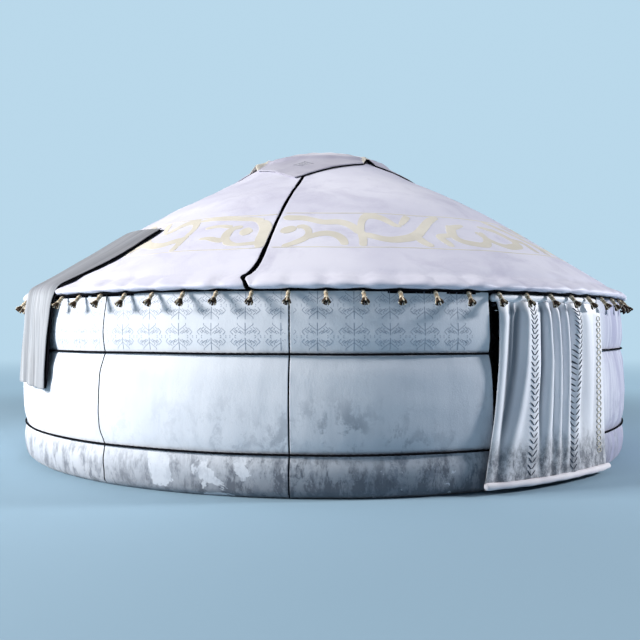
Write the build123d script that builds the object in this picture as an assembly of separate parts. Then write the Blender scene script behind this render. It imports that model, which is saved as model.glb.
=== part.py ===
from build123d import *
import os
from math import sin, cos, radians, pi, sqrt, atan2, degrees

# ---------------------------------------------------------------- dimensions
# millimetres, +Z up, doorway towards -Y, origin on the ground under the crown.
# Azimuths are degrees from -Y, positive towards +X.
WALL_R = 3000.0          # nominal outer radius of the wall felts
EAVE_Z = 1412.0          # underside of the roof hem, top of the wall felts
FELT_T = 28.0            # wall felt, quilted
ROOF_T = 24.0            # roof felt
DOOR_HALF = 12.1         # half angle of the doorway
FIRST_PANEL = 27.3       # wall felt beside the door
SEAM = 0.08              # gap at a felt seam, degrees
N_TASSEL = 76
ROPE_D = 20.0
ROPE_Z = (970.0, 299.0)
FLAP_HALF = 383.0
FLAP_Y = -182.0        # middle of the side flap
FLAP_Z = 670.0           # its lower edge
COVER_EDGE = 880.0       # crown cover, edge distance from the axis
LAT_R = 2937.0           # mid radius of the lattice
N_POLE = 48
POLE_D = 32.0
RING_R, RING_W, RING_H = 655.0, 90.0, 70.0

# outer profile of the wall felts (radius, height)
WALL_OUT = [(2950, 0), (2980, 25), (3001, 80), (3012, 160), (3008, 230), (2994, 299),
            (3008, 370), (3020, 480), (3025, 610), (3018, 760), (3006, 880), (2990, 970),
            (3001, 1050), (3005, 1154), (2998, 1250), (2988, 1330), (2984, 1405)]
# outer profile of the roof felts
ROOF_OUT = [(3009, 1460), (2866, 1550), (2615, 1700), (2306, 1900), (2006, 2100),
            (1684, 2300), (1310, 2500), (959, 2700), (719, 2850)]

os.makedirs("parts", exist_ok=True)


def at(az, r, z=0.0):
    a = radians(az)
    return (r * sin(a), -r * cos(a), z)


def out(shape, name):
    shape.label = name
    export_step(shape, f"parts/{name}.step")


def comp(solids):
    return Compound(children=list(solids))


def swept(face, az0, az1):
    """Turn a face of the XZ plane about Z from azimuth az0 to az1."""
    # azimuth a lies at the angle a-90 from +X
    f = face.rotate(Axis.Z, az0 - 90)
    return revolve(f, Axis.Z, az1 - az0)


# ---------------------------------------------------------------- wall felts
base = list(WALL_OUT)
# square the feet: the inner line starts on the ground too
o = [Vector(r, 0, z) for r, z in base]
inn = []
for i, (r, z) in enumerate(base):
    a = base[max(i - 1, 0)]
    b = base[min(i + 1, len(base) - 1)]
    dr, dz = b[0] - a[0], b[1] - a[1]
    L = sqrt(dr * dr + dz * dz)
    inn.append((r - dz / L * FELT_T, z + dr / L * FELT_T))
inn[0] = (base[0][0] - FELT_T, 0)
inn[1] = (base[1][0] - FELT_T, 30)
inn[-1] = (base[-1][0] - FELT_T, base[-1][1])
q = [Vector(r, 0, z) for r, z in inn]
wall_face = Face(Wire([Edge.make_spline(o), Edge.make_line(o[-1], q[-1]),
                       Edge.make_spline(list(reversed(q))), Edge.make_line(q[0], o[0])]))
rest = (180 - DOOR_HALF - FIRST_PANEL) / 5
seams = [DOOR_HALF, DOOR_HALF + FIRST_PANEL]
for k in range(5):
    seams.append(seams[-1] + rest)
panels = []
for side, sg in (("left", -1), ("right", 1)):
    for k in range(6):
        a0, a1 = seams[k] + (SEAM / 2 if k else 0), seams[k + 1] - SEAM / 2
        lo, hi = (a0, a1) if sg > 0 else (-a1, -a0)
        out(swept(wall_face, lo, hi), f"wall_felt_{side}_{k + 1}")
        panels.append((lo, hi))

# ---------------------------------------------------------------- girth ropes
for name, z in zip(("girth_rope_upper", "girth_rope_lower"), ROPE_Z):
    r_at = 2990 if z > 500 else 2994
    rc = r_at + ROPE_D / 2 + 0.6
    f = Face(Wire([Edge.make_circle(ROPE_D / 2, Plane(origin=(rc, 0, z), z_dir=(0, 1, 0)))]))
    out(swept(f, DOOR_HALF + 0.15, 360 - DOOR_HALF - 0.15), name)

# ---------------------------------------------------------------- lattice
COLS, ROWS = 4, 7
LAT_SPAN = 26.2
BAR_W, BAR_T = 28.0, 12.0
Z0, DZ = 40.0, 195.0


def lat_r(z):
    if z < 130:
        return LAT_R - 34 * (1 - z / 130)
    return LAT_R


def bar(p, q2, off):
    """A flat bar from p to q2 on the lattice's cylinder, moved out by off."""
    P, Q = Vector(*p), Vector(*q2)
    m = (P + Q) * 0.5
    rad = Vector(m.X, m.Y, 0).normalized()
    d = (Q - P).normalized()
    rad = (rad - d * rad.dot(d)).normalized()
    L = (Q - P).length + 14
    pl = Plane(origin=m + rad * off, x_dir=d, z_dir=rad)
    return pl * Box(L, BAR_W, BAR_T)


def lattice_panel(mid):
    bars = []
    half = LAT_SPAN / 2
    step = LAT_SPAN / COLS / 2

    def node(i, j):
        a = mid - half + i * step
        z = Z0 + j * DZ
        return at(a, lat_r(z), z)
    for j in range(ROWS):
        for i in range(2 * COLS):
            if (i + j) % 2 == 0:
                bars.append(bar(node(i, j), node(i + 1, j + 1), 4))
            else:
                bars.append(bar(node(i + 1, j), node(i, j + 1), -4))
    s = bars[0].fuse(*bars[1:])
    return s


one = lattice_panel(0)
one = one.solids()[0] if len(one.solids()) == 1 else max(one.solids(), key=lambda s: s.volume)
mids = [(lo + hi) / 2 for lo, hi in panels]
groups = {"lattice_left_front": mids[0:3], "lattice_left_back": mids[3:6],
          "lattice_right_front": mids[6:9], "lattice_right_back": mids[9:12]}
for name, ms in groups.items():
    out(comp([one.rotate(Axis.Z, m) for m in ms]), name)

# ---------------------------------------------------------------- roof felts
# hem: rolled edge that stands out over the tassel cord
hem = [(2992, 1416), (3020, 1413), (3041, 1420), (3046, 1434), (3034, 1450), (3009, 1464)]
up = ROOF_OUT[1:]


def roof_face(hem_pts, tuck=0):
    line = [(r, z) for r, z in hem_pts] + list(up)
    line[-1] = (712, 2853)
    inner = []
    for i, (r, z) in enumerate(up):
        a = ([ROOF_OUT[0]] + up)[i]
        b = up[min(i + 1, len(up) - 1)]
        dr, dz = b[0] - a[0], b[1] - a[1]
        L = sqrt(dr * dr + dz * dz)
        inner.append((r - dz / L * ROOF_T, z + dr / L * ROOF_T))
    low = [(2992 - tuck, 1416), (2975 - tuck, 1432)]
    o1 = [Vector(r, 0, z) for r, z in line]
    q1 = [Vector(r, 0, z) for r, z in reversed(inner)]
    e1 = Edge.make_spline(o1)
    e2 = Edge.make_line(o1[-1], q1[0])
    e3 = Edge.make_spline(q1)
    e4 = Edge.make_line(q1[-1], Vector(low[1][0], 0, low[1][1]))
    e5 = Edge.make_line(Vector(low[1][0], 0, low[1][1]), o1[0])
    return Face(Wire([e1, e2, e3, e4, e5]))


roof_f = roof_face(hem)
GAP = 0.25
for name, a0 in (("roof_felt_front", -45), ("roof_felt_right", 45), ("roof_felt_back", 135),
                 ("roof_felt_left", 225)):
    s = swept(roof_f, a0 + GAP / 2, a0 + 90 - GAP / 2)
    if name == "roof_felt_left":
        # the hem is pressed flat where the flap goes over it
        tool = Pos(-3040, FLAP_Y, 1435) * Box(220, 2 * FLAP_HALF + 30, 90)
        core = Cylinder(2996, 200, align=(Align.CENTER, Align.CENTER, Align.CENTER))
        s = s - (tool - Pos(0, 0, 1435) * core)
        s = max(s.solids(), key=lambda t: t.volume)
    out(s, name)

# ---------------------------------------------------------------- eave cord
CORD_R, CORD_Z = 3008.0, 1402.0
f = Face(Wire([Edge.make_circle(7, Plane(origin=(CORD_R, 0, CORD_Z), z_dir=(0, 1, 0)))]))
out(swept(f, -78.4, 265.4), "eave_cord")

# ---------------------------------------------------------------- tassels
TILT = 40.0
prof = [(0, 4.6), (4, 4.6), (4, 0), (14, 0), (15.5, -8), (14.5, -30), (16, -48), (13.5, -56), (18, -70), (27, -112), (25, -116), (0, -116)]
tf = Face(Wire.make_polygon([Vector(x, 0, z) for x, z in prof], close=True))
tas = revolve(tf, Axis.Z, 360)


def tassel(az):
    t = tas.rotate(Axis.Y, -TILT)          # lower end towards +X, outwards
    t = t.moved(Location(Vector(CORD_R + 12 * sin(radians(TILT)), 0, CORD_Z - 12 * cos(radians(TILT)))))
    return t.rotate(Axis.Z, az - 90)


sets = {"tassels_front": [], "tassels_right": [], "tassels_back": [], "tassels_left": []}
for i in range(N_TASSEL):
    az = (i * 360 / N_TASSEL - 1.54 + 180) % 360 - 180
    if abs(az + 86.8) < 6.0:
        continue
    key = ("tassels_front" if abs(az) <= 45 else "tassels_right" if 45 < az <= 135 else
           "tassels_left" if -135 <= az < -45 else "tassels_back")
    sets[key].append(tassel(az))
for k, v in sets.items():
    out(comp(v), k)

# ---------------------------------------------------------------- door frame
JX = 3000 * sin(radians(DOOR_HALF))        # 629
POST = 64.0
py = -2850.0
for side, sg in (("left", -1), ("right", 1)):
    b = Pos(sg * (JX - 50), py, 1330 / 2) * Box(POST, 60, 1330)
    b = fillet(b.edges().filter_by(Axis.Z), 6)
    out(b, f"door_post_{side}")
lin = Pos(0, py, 1330 + 32) * Box(2 * (JX - 50) + POST, 60, 64)
out(fillet(lin.edges().filter_by(Axis.X), 6), "door_lintel")
sill = Pos(0, py, 30) * Box(2 * (JX - 50) - POST, 80, 60)
out(fillet(sill.edges().filter_by(Axis.X), 5), "door_sill")


# ---------------------------------------------------------------- roof poles
P0, P1 = (2915.0, 1454.0), (701.0, 2779.5)
groups = {"roof_poles_front": [], "roof_poles_right": [], "roof_poles_back": [], "roof_poles_left": []}
for i in range(N_POLE):
    az = -45 + (i + 0.5) * 360 / N_POLE
    a, b = Vector(P0[0], 0, P0[1]), Vector(P1[0], 0, P1[1])
    d = (b - a)
    c = Solid.make_cylinder(POLE_D / 2, d.length, Plane(origin=a, z_dir=d.normalized()))
    c = c.rotate(Axis.Z, az - 90)
    groups[list(groups)[i * 4 // N_POLE]].append(c)
for k, v in groups.items():
    out(comp(v), k)

# ---------------------------------------------------------------- crown
f = Face(Wire.make_polygon([Vector(RING_R - RING_W / 2, 0, 2765), Vector(RING_R + RING_W / 2 - 12, 0, 2765),
                            Vector(RING_R + RING_W / 2 - 12, 0, 2765 + RING_H - 14),
                            Vector(RING_R + RING_W / 2 - 30, 0, 2765 + RING_H),
                            Vector(RING_R - RING_W / 2, 0, 2765 + RING_H)], close=True))
out(revolve(f, Axis.Z, 360), "crown_ring")

BAR_Z = 2837.0


def hoop(offset, top, h_bar=22.0):
    """Arched bar standing on the ring, in the XZ plane, at y = offset."""
    h = sqrt((RING_R + 5) ** 2 - offset ** 2)
    lo = Edge.make_three_point_arc(Vector(-h, 0, BAR_Z), Vector(0, 0, top), Vector(h, 0, BAR_Z))
    hi = Edge.make_three_point_arc(Vector(h, 0, BAR_Z + h_bar), Vector(0, 0, top + h_bar), Vector(-h, 0, BAR_Z + h_bar))
    w = Wire([lo, Edge.make_line(lo @ 1, hi @ 0), hi, Edge.make_line(hi @ 1, lo @ 0)])
    s = extrude(Face(w), 13, dir=(0, 1, 0), both=True)
    return s.moved(Location(Vector(0, offset, 0)))


low = [hoop(v, 2957 - abs(v) / 10) for v in (-190, 0, 190)]
high = [hoop(v, 2991 - abs(v) / 14).rotate(Axis.Z, 90) for v in (-190, 0, 190)]
out(comp(low), "crown_bars_lower")
out(comp(high), "crown_bars_upper")

# ---------------------------------------------------------------- crown cover
COV_T = 10.0
cov = [(1340, 2486), (1130, 2604), (959, 2703), (800, 2800), (719, 2853), (640, 2897), (560, 2934),
       (430, 2973), (300, 2996), (150, 3011), (0, 3016)]
cov = [(r, z + 3.0) for r, z in cov]
o3 = [Vector(r, 0, z) for r, z in cov]
q3 = [Vector(r, 0, z + COV_T) for r, z in cov]
cf = Face(Wire([Edge.make_spline(o3), Edge.make_line(o3[-1], q3[-1]), Edge.make_spline(list(reversed(q3))),
                Edge.make_line(q3[0], o3[0])]))
cs = revolve(cf, Axis.Z, 360)
sq = Pos(-40, 50, 2700) * Box(2 * COVER_EDGE, 2 * COVER_EDGE, 1200)
cs = cs & sq
out(max(cs.solids(), key=lambda s: s.volume), "crown_cover")

# ---------------------------------------------------------------- side flap
# a strip over the eave: it stands a little off the roof and hangs round the wall
FT = 10.0
flo = [(2080, 2052), (2306, 1900), (2615, 1700), (2866, 1551), (2960, 1500), (2996, 1474), (3010, 1442), (3014, 1405),
       (3019, 1350), (3032, 1200), (3045, 950), (3058, FLAP_Z)]
lift = [14, 16, 14, 10, 5, 2, 0, 0, 0, 0, 0, 0]
ins = []
ous = []
for i, (r, z) in enumerate(flo):
    a = flo[max(i - 1, 0)]
    b = flo[min(i + 1, len(flo) - 1)]
    dr, dz = b[0] - a[0], b[1] - a[1]
    L = sqrt(dr * dr + dz * dz)
    nr, nz = -dz / L, dr / L
    c = 11.0 + lift[i]
    ins.append((r + nr * c, z + nz * c))
    ous.append((r + nr * (c + FT), z + nz * (c + FT)))
e1 = Edge.make_spline([Vector(r, 0, z) for r, z in ins])
e3 = Edge.make_spline([Vector(r, 0, z) for r, z in reversed(ous)])
e2 = Edge.make_line(e1 @ 1, e3 @ 0)
e4 = Edge.make_line(e3 @ 1, e1 @ 0)
fl = swept(Face(Wire([e1, e2, e3, e4])), -103, -68)
fl = fl & (Pos(-2500, FLAP_Y, 1500) * Box(2400, 2 * FLAP_HALF, 3000))
out(max(fl.solids(), key=lambda s: s.volume), "side_flap")


# ---------------------------------------------------------------- door curtain
CT = 8.0


def wavy(z, r0, a0, a1, amp, n=9.0, pts=90):
    outer, inner = [], []
    for i in range(pts + 1):
        t = i / pts
        a = a0 + (a1 - a0) * t
        fade = 1.0 - 0.75 * t
        r = r0 + amp * fade * sin(2 * pi * n * t * 0.55 + 0.6) * (0.9 + 0.1 * cos(7 * t))
        outer.append(Vector(*at(a, r + CT / 2, z)))
        inner.append(Vector(*at(a, r - CT / 2, z)))
    e1 = Edge.make_spline(outer)
    e3 = Edge.make_spline(list(reversed(inner)))
    return Wire([e1, Edge.make_line(outer[-1], inner[-1]), e3, Edge.make_line(inner[0], outer[0])])


w_top = wavy(1330, 3018, -11.0, 12.9, 6)
w_bot = wavy(92, 3072, -14.0, 12.7, 16)
out(Solid.make_loft([w_top, w_bot], ruled=True), "door_curtain")
f = Face(Wire([Edge.make_circle(30, Plane(origin=(2976, 0, 1362), z_dir=(0, 1, 0)))]))
out(swept(f, -11.9, 11.9), "curtain_top_roll")
f = Face(Wire([Edge.make_circle(27, Plane(origin=(3074, 0, 62), z_dir=(0, 1, 0)))]))
out(swept(f, -14.2, 12.9), "curtain_hem_roll")
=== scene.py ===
import bpy, math
import numpy as np
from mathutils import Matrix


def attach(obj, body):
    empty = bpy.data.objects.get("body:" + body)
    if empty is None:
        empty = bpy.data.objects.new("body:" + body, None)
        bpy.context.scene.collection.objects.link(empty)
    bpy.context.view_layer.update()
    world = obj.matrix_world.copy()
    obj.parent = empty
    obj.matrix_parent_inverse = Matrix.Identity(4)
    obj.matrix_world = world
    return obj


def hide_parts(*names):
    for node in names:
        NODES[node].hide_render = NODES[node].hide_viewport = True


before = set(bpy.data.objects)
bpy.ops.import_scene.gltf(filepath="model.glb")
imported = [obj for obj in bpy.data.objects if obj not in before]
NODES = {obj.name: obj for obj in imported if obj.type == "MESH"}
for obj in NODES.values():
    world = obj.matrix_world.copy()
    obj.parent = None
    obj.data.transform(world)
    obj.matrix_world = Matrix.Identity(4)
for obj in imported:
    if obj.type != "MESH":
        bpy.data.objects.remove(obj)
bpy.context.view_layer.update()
rng = np.random.default_rng(11)
MADE = []

# ------------------------------------------------------------------ helpers


def sstep(a, b, x):
    t = np.clip((np.asarray(x, float) - a) / (b - a), 0, 1)
    return t * t * (3 - 2 * t)


def gauss(x, c, w):
    return np.exp(-((np.asarray(x, float) - c) / w) ** 2)


def spline1(xs, ys):
    """Natural cubic spline through the points, as a function."""
    xs, ys = np.asarray(xs, float), np.asarray(ys, float)
    n = len(xs)
    h = np.diff(xs)
    A = np.zeros((n, n)); b = np.zeros(n)
    A[0, 0] = A[-1, -1] = 1
    for i in range(1, n - 1):
        A[i, i - 1], A[i, i], A[i, i + 1] = h[i - 1], 2 * (h[i - 1] + h[i]), h[i]
        b[i] = 3 * ((ys[i + 1] - ys[i]) / h[i] - (ys[i] - ys[i - 1]) / h[i - 1])
    c = np.linalg.solve(A, b)
    d = (c[1:] - c[:-1]) / (3 * h)
    bb = (ys[1:] - ys[:-1]) / h - h * (2 * c[:-1] + c[1:]) / 3

    def f(x):
        x = np.asarray(x, float)
        k = np.clip(np.searchsorted(xs, x) - 1, 0, n - 2)
        t = x - xs[k]
        return ys[k] + bb[k] * t + c[k] * t ** 2 + d[k] * t ** 3
    return f


def waves(seed, n, lo, hi):
    """Smooth seeded unevenness of two coordinates, about -1 to 1; wavelengths lo to hi metres."""
    g = np.random.default_rng(seed)
    k = 2 * math.pi / g.uniform(lo, hi, n)
    th = g.uniform(0, math.pi, n)
    ph = g.uniform(0, 2 * math.pi, n)

    def f(u, v):
        s = 0
        for i in range(n):
            s = s + np.sin(k[i] * (math.cos(th[i]) * u + math.sin(th[i]) * v) + ph[i])
        return s / math.sqrt(n) / 1.2
    return f


def pol(az, r, z):
    a = np.radians(np.asarray(az, float))
    r = np.asarray(r, float)
    x = r * np.sin(a)
    y = -r * np.cos(a)
    return np.stack(np.broadcast_arrays(x, y, np.asarray(z, float)), -1)


def new_mesh(name, V, F, mats, idx=None, smooth=True):
    me = bpy.data.meshes.new(name)
    V = np.asarray(V, np.float32).reshape(-1, 3)
    F = np.asarray(F, np.int32)
    me.vertices.add(len(V))
    me.vertices.foreach_set("co", V.ravel())
    k = F.shape[1]
    me.loops.add(F.size)
    me.loops.foreach_set("vertex_index", F.ravel())
    me.polygons.add(len(F))
    me.polygons.foreach_set("loop_start", np.arange(0, F.size, k, dtype=np.int32))
    me.polygons.foreach_set("loop_total", np.full(len(F), k, np.int32))
    me.update(calc_edges=True)
    me.validate()
    for m in (mats if isinstance(mats, (list, tuple)) else [mats]):
        me.materials.append(m)
    if idx is not None:
        me.polygons.foreach_set("material_index", np.asarray(idx, np.int32))
    me.polygons.foreach_set("use_smooth", np.full(len(me.polygons), smooth, bool))
    ob = bpy.data.objects.new(name, me)
    bpy.context.scene.collection.objects.link(ob)
    return ob


def shell_arrays(A, B, base=0, wrap=False):
    """Closed quads between an outer grid A and an inner grid B of the same shape."""
    R, C = A.shape[:2]
    V = np.concatenate([A.reshape(-1, 3), B.reshape(-1, 3)])
    idx = np.arange(R * C).reshape(R, C)
    if wrap:
        idx = np.concatenate([idx, idx[:, :1]], 1)
    off = R * C

    def q(a, b, c, d):
        return np.stack([a, b, c, d], -1).reshape(-1, 4)
    F = [q(idx[:-1, :-1], idx[:-1, 1:], idx[1:, 1:], idx[1:, :-1]),
         q(idx[:-1, :-1] + off, idx[1:, :-1] + off, idx[1:, 1:] + off, idx[:-1, 1:] + off),
         q(idx[0, 1:], idx[0, :-1], idx[0, :-1] + off, idx[0, 1:] + off),
         q(idx[-1, :-1], idx[-1, 1:], idx[-1, 1:] + off, idx[-1, :-1] + off)]
    if not wrap:
        F += [q(idx[:-1, 0], idx[1:, 0], idx[1:, 0] + off, idx[:-1, 0] + off),
              q(idx[1:, -1], idx[:-1, -1], idx[:-1, -1] + off, idx[1:, -1] + off)]
    F = np.concatenate(F)
    a, b, c = A[:-1, :-1], A[:-1, 1:], A[1:, :-1]
    nrm = np.cross(b - a, c - a)
    if (nrm * (A[:-1, :-1] - B[:-1, :-1])).sum() < 0:
        F = F[:, ::-1]
    return V, F + base


def shell(name, A, B, mats, wrap=False):
    V, F = shell_arrays(A, B, wrap=wrap)
    return new_mesh(name, V, F, mats)


class Batch:
    """Many closed bits in one mesh."""

    def __init__(self):
        self.V, self.F, self.M, self.n = [], [], [], 0

    def add(self, V, F, m=0):
        self.V.append(V)
        self.F.append(F + self.n)
        self.M.append(np.full(len(F), m))
        self.n += len(V)

    def shell(self, A, B, m=0, wrap=False):
        V, F = shell_arrays(A, B, wrap=wrap)
        self.add(V, F, m)

    def done(self, name, mats, smooth=True):
        return new_mesh(name, np.concatenate(self.V), np.concatenate(self.F), mats, np.concatenate(self.M), smooth)


def normals(G):
    """Unit normals of a grid surface."""
    du = np.gradient(G, axis=1)
    dv = np.gradient(G, axis=0)
    n = np.cross(du, dv)
    return n / np.maximum(np.linalg.norm(n, axis=-1, keepdims=True), 1e-12)


def tube(path, radius, sides=10, closed=False, twist=None, lobes=0, depth=0.0, ref=(0, 0, 1)):
    """Rings of a tube along path; radius may vary. Returns grid (n, sides, 3)."""
    path = np.asarray(path, float)
    n = len(path)
    T = np.gradient(path, axis=0)
    if closed:
        T = np.roll(path, -1, 0) - np.roll(path, 1, 0)
    T /= np.linalg.norm(T, axis=1, keepdims=True)
    ref = np.broadcast_to(np.asarray(ref, float), path.shape)
    N = ref - T * (ref * T).sum(1, keepdims=True)
    N /= np.linalg.norm(N, axis=1, keepdims=True)
    Bn = np.cross(T, N)
    th = np.linspace(0, 2 * math.pi, sides, endpoint=False)
    r = np.broadcast_to(np.asarray(radius, float).reshape(-1, 1), (n, sides)).copy()
    if lobes:
        s = np.concatenate([[0], np.cumsum(np.linalg.norm(np.diff(path, axis=0), axis=1))])
        r = r * (1 - depth + depth * np.abs(np.cos(lobes / 2 * (th[None] - s[:, None] * twist))) ** 0.7 * 1.0)
    return path[:, None] + r[..., None] * (np.cos(th)[None, :, None] * N[:, None] + np.sin(th)[None, :, None] * Bn[:, None])


def tube_arrays(G, closed=False):
    n, s = G.shape[:2]
    V = G.reshape(-1, 3)
    idx = np.arange(n * s).reshape(n, s)
    idx = np.concatenate([idx, idx[:, :1]], 1)
    if closed:
        idx = np.concatenate([idx, idx[:1]], 0)
    F = np.stack([idx[:-1, :-1], idx[1:, :-1], idx[1:, 1:], idx[:-1, 1:]], -1).reshape(-1, 4)
    if not closed:
        c0, c1 = V[:s].mean(0), V[-s:].mean(0)
        V = np.concatenate([V, [c0], [c1]])
        a, b = n * s, n * s + 1
        # two-triangle fans written as quads of two ring edges
        cap = []
        for i in range(0, s, 2):
            cap.append([a, i, (i + 1) % s, (i + 2) % s])
            j = (n - 1) * s
            cap.append([b, j + (i + 2) % s, j + (i + 1) % s, j + i])
        F = np.concatenate([F, np.array(cap)])
    return V, F


def finish_piece(ob, slot, *nodes):
    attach(ob, "root")
    if nodes:
        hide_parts(*nodes)
    MADE.append(ob)
    return ob


# ------------------------------------------------------------------ materials


class Mat:
    def __init__(self, name, rough=0.9, sheen=0.0, spec=0.2):
        self.m = bpy.data.materials.new(name)
        self.m.use_nodes = True
        self.t = self.m.node_tree
        self.n = self.t.nodes
        self.b = self.n["Principled BSDF"]
        self.b.inputs["Roughness"].default_value = rough
        self.b.inputs["Specular IOR Level"].default_value = spec
        if sheen:
            self.b.inputs["Sheen Weight"].default_value = sheen
            self.b.inputs["Sheen Roughness"].default_value = 0.5
        self.co = self.n.new("ShaderNodeTexCoord").outputs["Object"]
        self.geo = None

    def link(self, a, b):
        self.t.links.new(a, b)

    def mapping(self, scale, loc=(0, 0, 0)):
        k = self.n.new("ShaderNodeMapping")
        k.inputs["Scale"].default_value = scale
        k.inputs["Location"].default_value = loc
        self.link(self.co, k.inputs["Vector"])
        return k.outputs["Vector"]

    def noise(self, scale, detail=4, rough=0.55, vec=None, dist=0.0):
        k = self.n.new("ShaderNodeTexNoise")
        k.inputs["Scale"].default_value = scale
        k.inputs["Detail"].default_value = detail
        k.inputs["Roughness"].default_value = rough
        k.inputs["Distortion"].default_value = dist
        self.link(vec if vec is not None else self.co, k.inputs["Vector"])
        return k.outputs["Fac"]

    def ramp(self, fac, a, b, lo=0.0, hi=1.0):
        k = self.n.new("ShaderNodeMapRange")
        k.interpolation_type = "SMOOTHSTEP"
        k.inputs["From Min"].default_value = a
        k.inputs["From Max"].default_value = b
        k.inputs["To Min"].default_value = lo
        k.inputs["To Max"].default_value = hi
        self.link(fac, k.inputs["Value"])
        return k.outputs["Result"]

    def math(self, op, a, b=None, clamp=False):
        k = self.n.new("ShaderNodeMath")
        k.operation = op
        k.use_clamp = clamp
        for i, v in enumerate((a, b)):
            if v is None:
                continue
            if isinstance(v, (int, float)):
                k.inputs[i].default_value = v
            else:
                self.link(v, k.inputs[i])
        return k.outputs[0]

    def mix(self, fac, a, b, mode="MIX"):
        k = self.n.new("ShaderNodeMix")
        k.data_type = "RGBA"
        k.blend_type = mode
        for s, v in ((k.inputs[0], fac), (k.inputs[6], a), (k.inputs[7], b)):
            if isinstance(v, (int, float)):
                s.default_value = v
            elif isinstance(v, (tuple, list)):
                s.default_value = (*v, 1.0)[:4]
            else:
                self.link(v, s)
        return k.outputs[2]

    def xyz(self):
        k = self.n.new("ShaderNodeSeparateXYZ")
        self.link(self.co, k.inputs[0])
        return k.outputs

    def color(self, c):
        if isinstance(c, (tuple, list)):
            self.b.inputs["Base Color"].default_value = (*c, 1)
        else:
            self.link(c, self.b.inputs["Base Color"])

    def bump(self, *layers):
        prev = None
        for h, strength, dist in layers:
            k = self.n.new("ShaderNodeBump")
            k.inputs["Strength"].default_value = strength
            k.inputs["Distance"].default_value = dist
            self.link(h, k.inputs["Height"])
            if prev is not None:
                self.link(prev, k.inputs["Normal"])
            prev = k.outputs["Normal"]
        self.link(prev, self.b.inputs["Normal"])


def mat_wall():
    m = Mat("felt_wall", rough=0.80, sheen=0.2, spec=0.28)
    x, y, z = m.xyz()[0:3]
    broad = m.noise(1.3, 3, 0.5)
    base = m.mix(m.ramp(broad, 0.3, 0.7), (0.68, 0.71, 0.78), (0.78, 0.80, 0.86))
    streak = m.noise(1.0, 5, 0.6, m.mapping((9.0, 9.0, 0.8)))
    base = m.mix(m.math("MULTIPLY", m.ramp(streak, 0.45, 0.75), 0.20), base, (0.50, 0.54, 0.61))
    # grey smudges above the lower rope, stronger on the front
    sm = m.noise(8.5, 8, 0.72, m.mapping((1, 1, 0.75)), 0.3)
    cloud = m.noise(1.5, 4, 0.55, m.mapping((1, 1, 0.8), (7, 3, 1)))
    zsm = m.ramp(z, 0.84, 0.40)
    fx = m.ramp(x, -2.7, -1.2, 0.22, 1.0)
    smf = m.math("MULTIPLY", m.math("MULTIPLY", m.ramp(sm, 0.47, 0.60), m.math("MULTIPLY", zsm, fx)), m.ramp(cloud, 0.42, 0.56, 0.10, 1.0))
    c = m.mix(m.math("MULTIPLY", smf, 0.78), base, (0.19, 0.22, 0.28))
    haze = m.math("MULTIPLY", m.math("MULTIPLY", m.ramp(z, 0.78, 0.28), fx), 0.26)
    c = m.mix(haze, c, (0.33, 0.38, 0.45))
    # damp dirt below the lower rope: a grey haze with darker streaky mottling
    body = m.noise(10.0, 9, 0.76, m.mapping((1, 1, 0.42)), 0.25)
    fine = m.noise(34.0, 6, 0.72, m.mapping((1, 1, 0.35)))
    zone = m.noise(1.5, 4, 0.55, m.mapping((1, 1, 0.7), (2, 9, 0)))
    zlow = m.ramp(z, 0.345, 0.24)
    front = m.ramp(x, -2.95, -1.6, 0.72, 1.0)
    tone = m.ramp(body, 0.44, 0.60)
    tone = m.math("MULTIPLY", tone, m.ramp(fine, 0.34, 0.56, 0.45, 1.0))
    amount = m.math("ADD", m.math("MULTIPLY", tone, m.ramp(zone, 0.38, 0.56, 0.38, 0.72)), m.ramp(z, 0.33, 0.0, 0.20, 0.85))
    amount = m.math("MULTIPLY", m.math("MULTIPLY", amount, zlow), front, clamp=True)
    # peeled clean in places, with hard edges
    patch = m.noise(3.1, 7, 0.58, m.mapping((1, 1, 0.8), (3.1, 1.7, 0)), 0.35)
    peel = m.math("MULTIPLY", m.ramp(patch, 0.602, 0.612), 0.80)
    amount = m.math("MULTIPLY", amount, m.math("SUBTRACT", 1.0, peel))
    c = m.mix(m.math("MULTIPLY", amount, 0.88), c, (0.075, 0.088, 0.118))
    # right of the doorway the felt is a duller lavender, streaked downwards
    rz = m.math("MULTIPLY", m.ramp(x, 0.55, 0.95), m.ramp(y, -1.4, -2.2))
    st2 = m.noise(5.0, 7, 0.7, m.mapping((2.4, 2.4, 0.22), (1, 5, 2)))
    c = m.mix(m.math("MULTIPLY", rz, m.ramp(st2, 0.38, 0.60, 0.45, 0.95)), c, (0.34, 0.34, 0.48))
    m.color(c)
    fib = m.noise(420.0, 3, 0.6)
    felt = m.noise(70.0, 5, 0.6)
    crease = m.noise(3.0, 5, 0.6, m.mapping((2.2, 2.2, 0.7)))
    m.bump((crease, 0.25, 0.012), (felt, 0.25, 0.004), (fib, 0.35, 0.0012))
    return m.m


def mat_roof():
    m = Mat("felt_roof", rough=0.52, sheen=0.15, spec=0.45)
    broad = m.noise(0.9, 4, 0.55)
    c = m.mix(m.ramp(broad, 0.32, 0.68), (0.60, 0.59, 0.71), (0.73, 0.72, 0.82))
    cloud = m.noise(2.3, 8, 0.62, None, 0.8)
    c = m.mix(m.math("MULTIPLY", m.ramp(cloud, 0.46, 0.74), 0.46), c, (0.44, 0.42, 0.56))
    vein = m.noise(1.5, 10, 0.68, m.mapping((1, 1, 2.2), (4, 2, 0)), 1.6)
    v2 = m.math("ABSOLUTE", m.math("SUBTRACT", vein, 0.5))
    c = m.mix(m.math("MULTIPLY", m.math("MULTIPLY", m.ramp(v2, 0.020, 0.0), m.ramp(cloud, 0.46, 0.62)), 0.18), c, (0.40, 0.39, 0.50))
    m.color(c)
    m.bump((m.noise(2.6, 6, 0.6, None, 0.6), 0.35, 0.02), (m.noise(60.0, 5, 0.6), 0.18, 0.004), (m.noise(420.0, 3, 0.6), 0.25, 0.0012))
    return m.m


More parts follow.
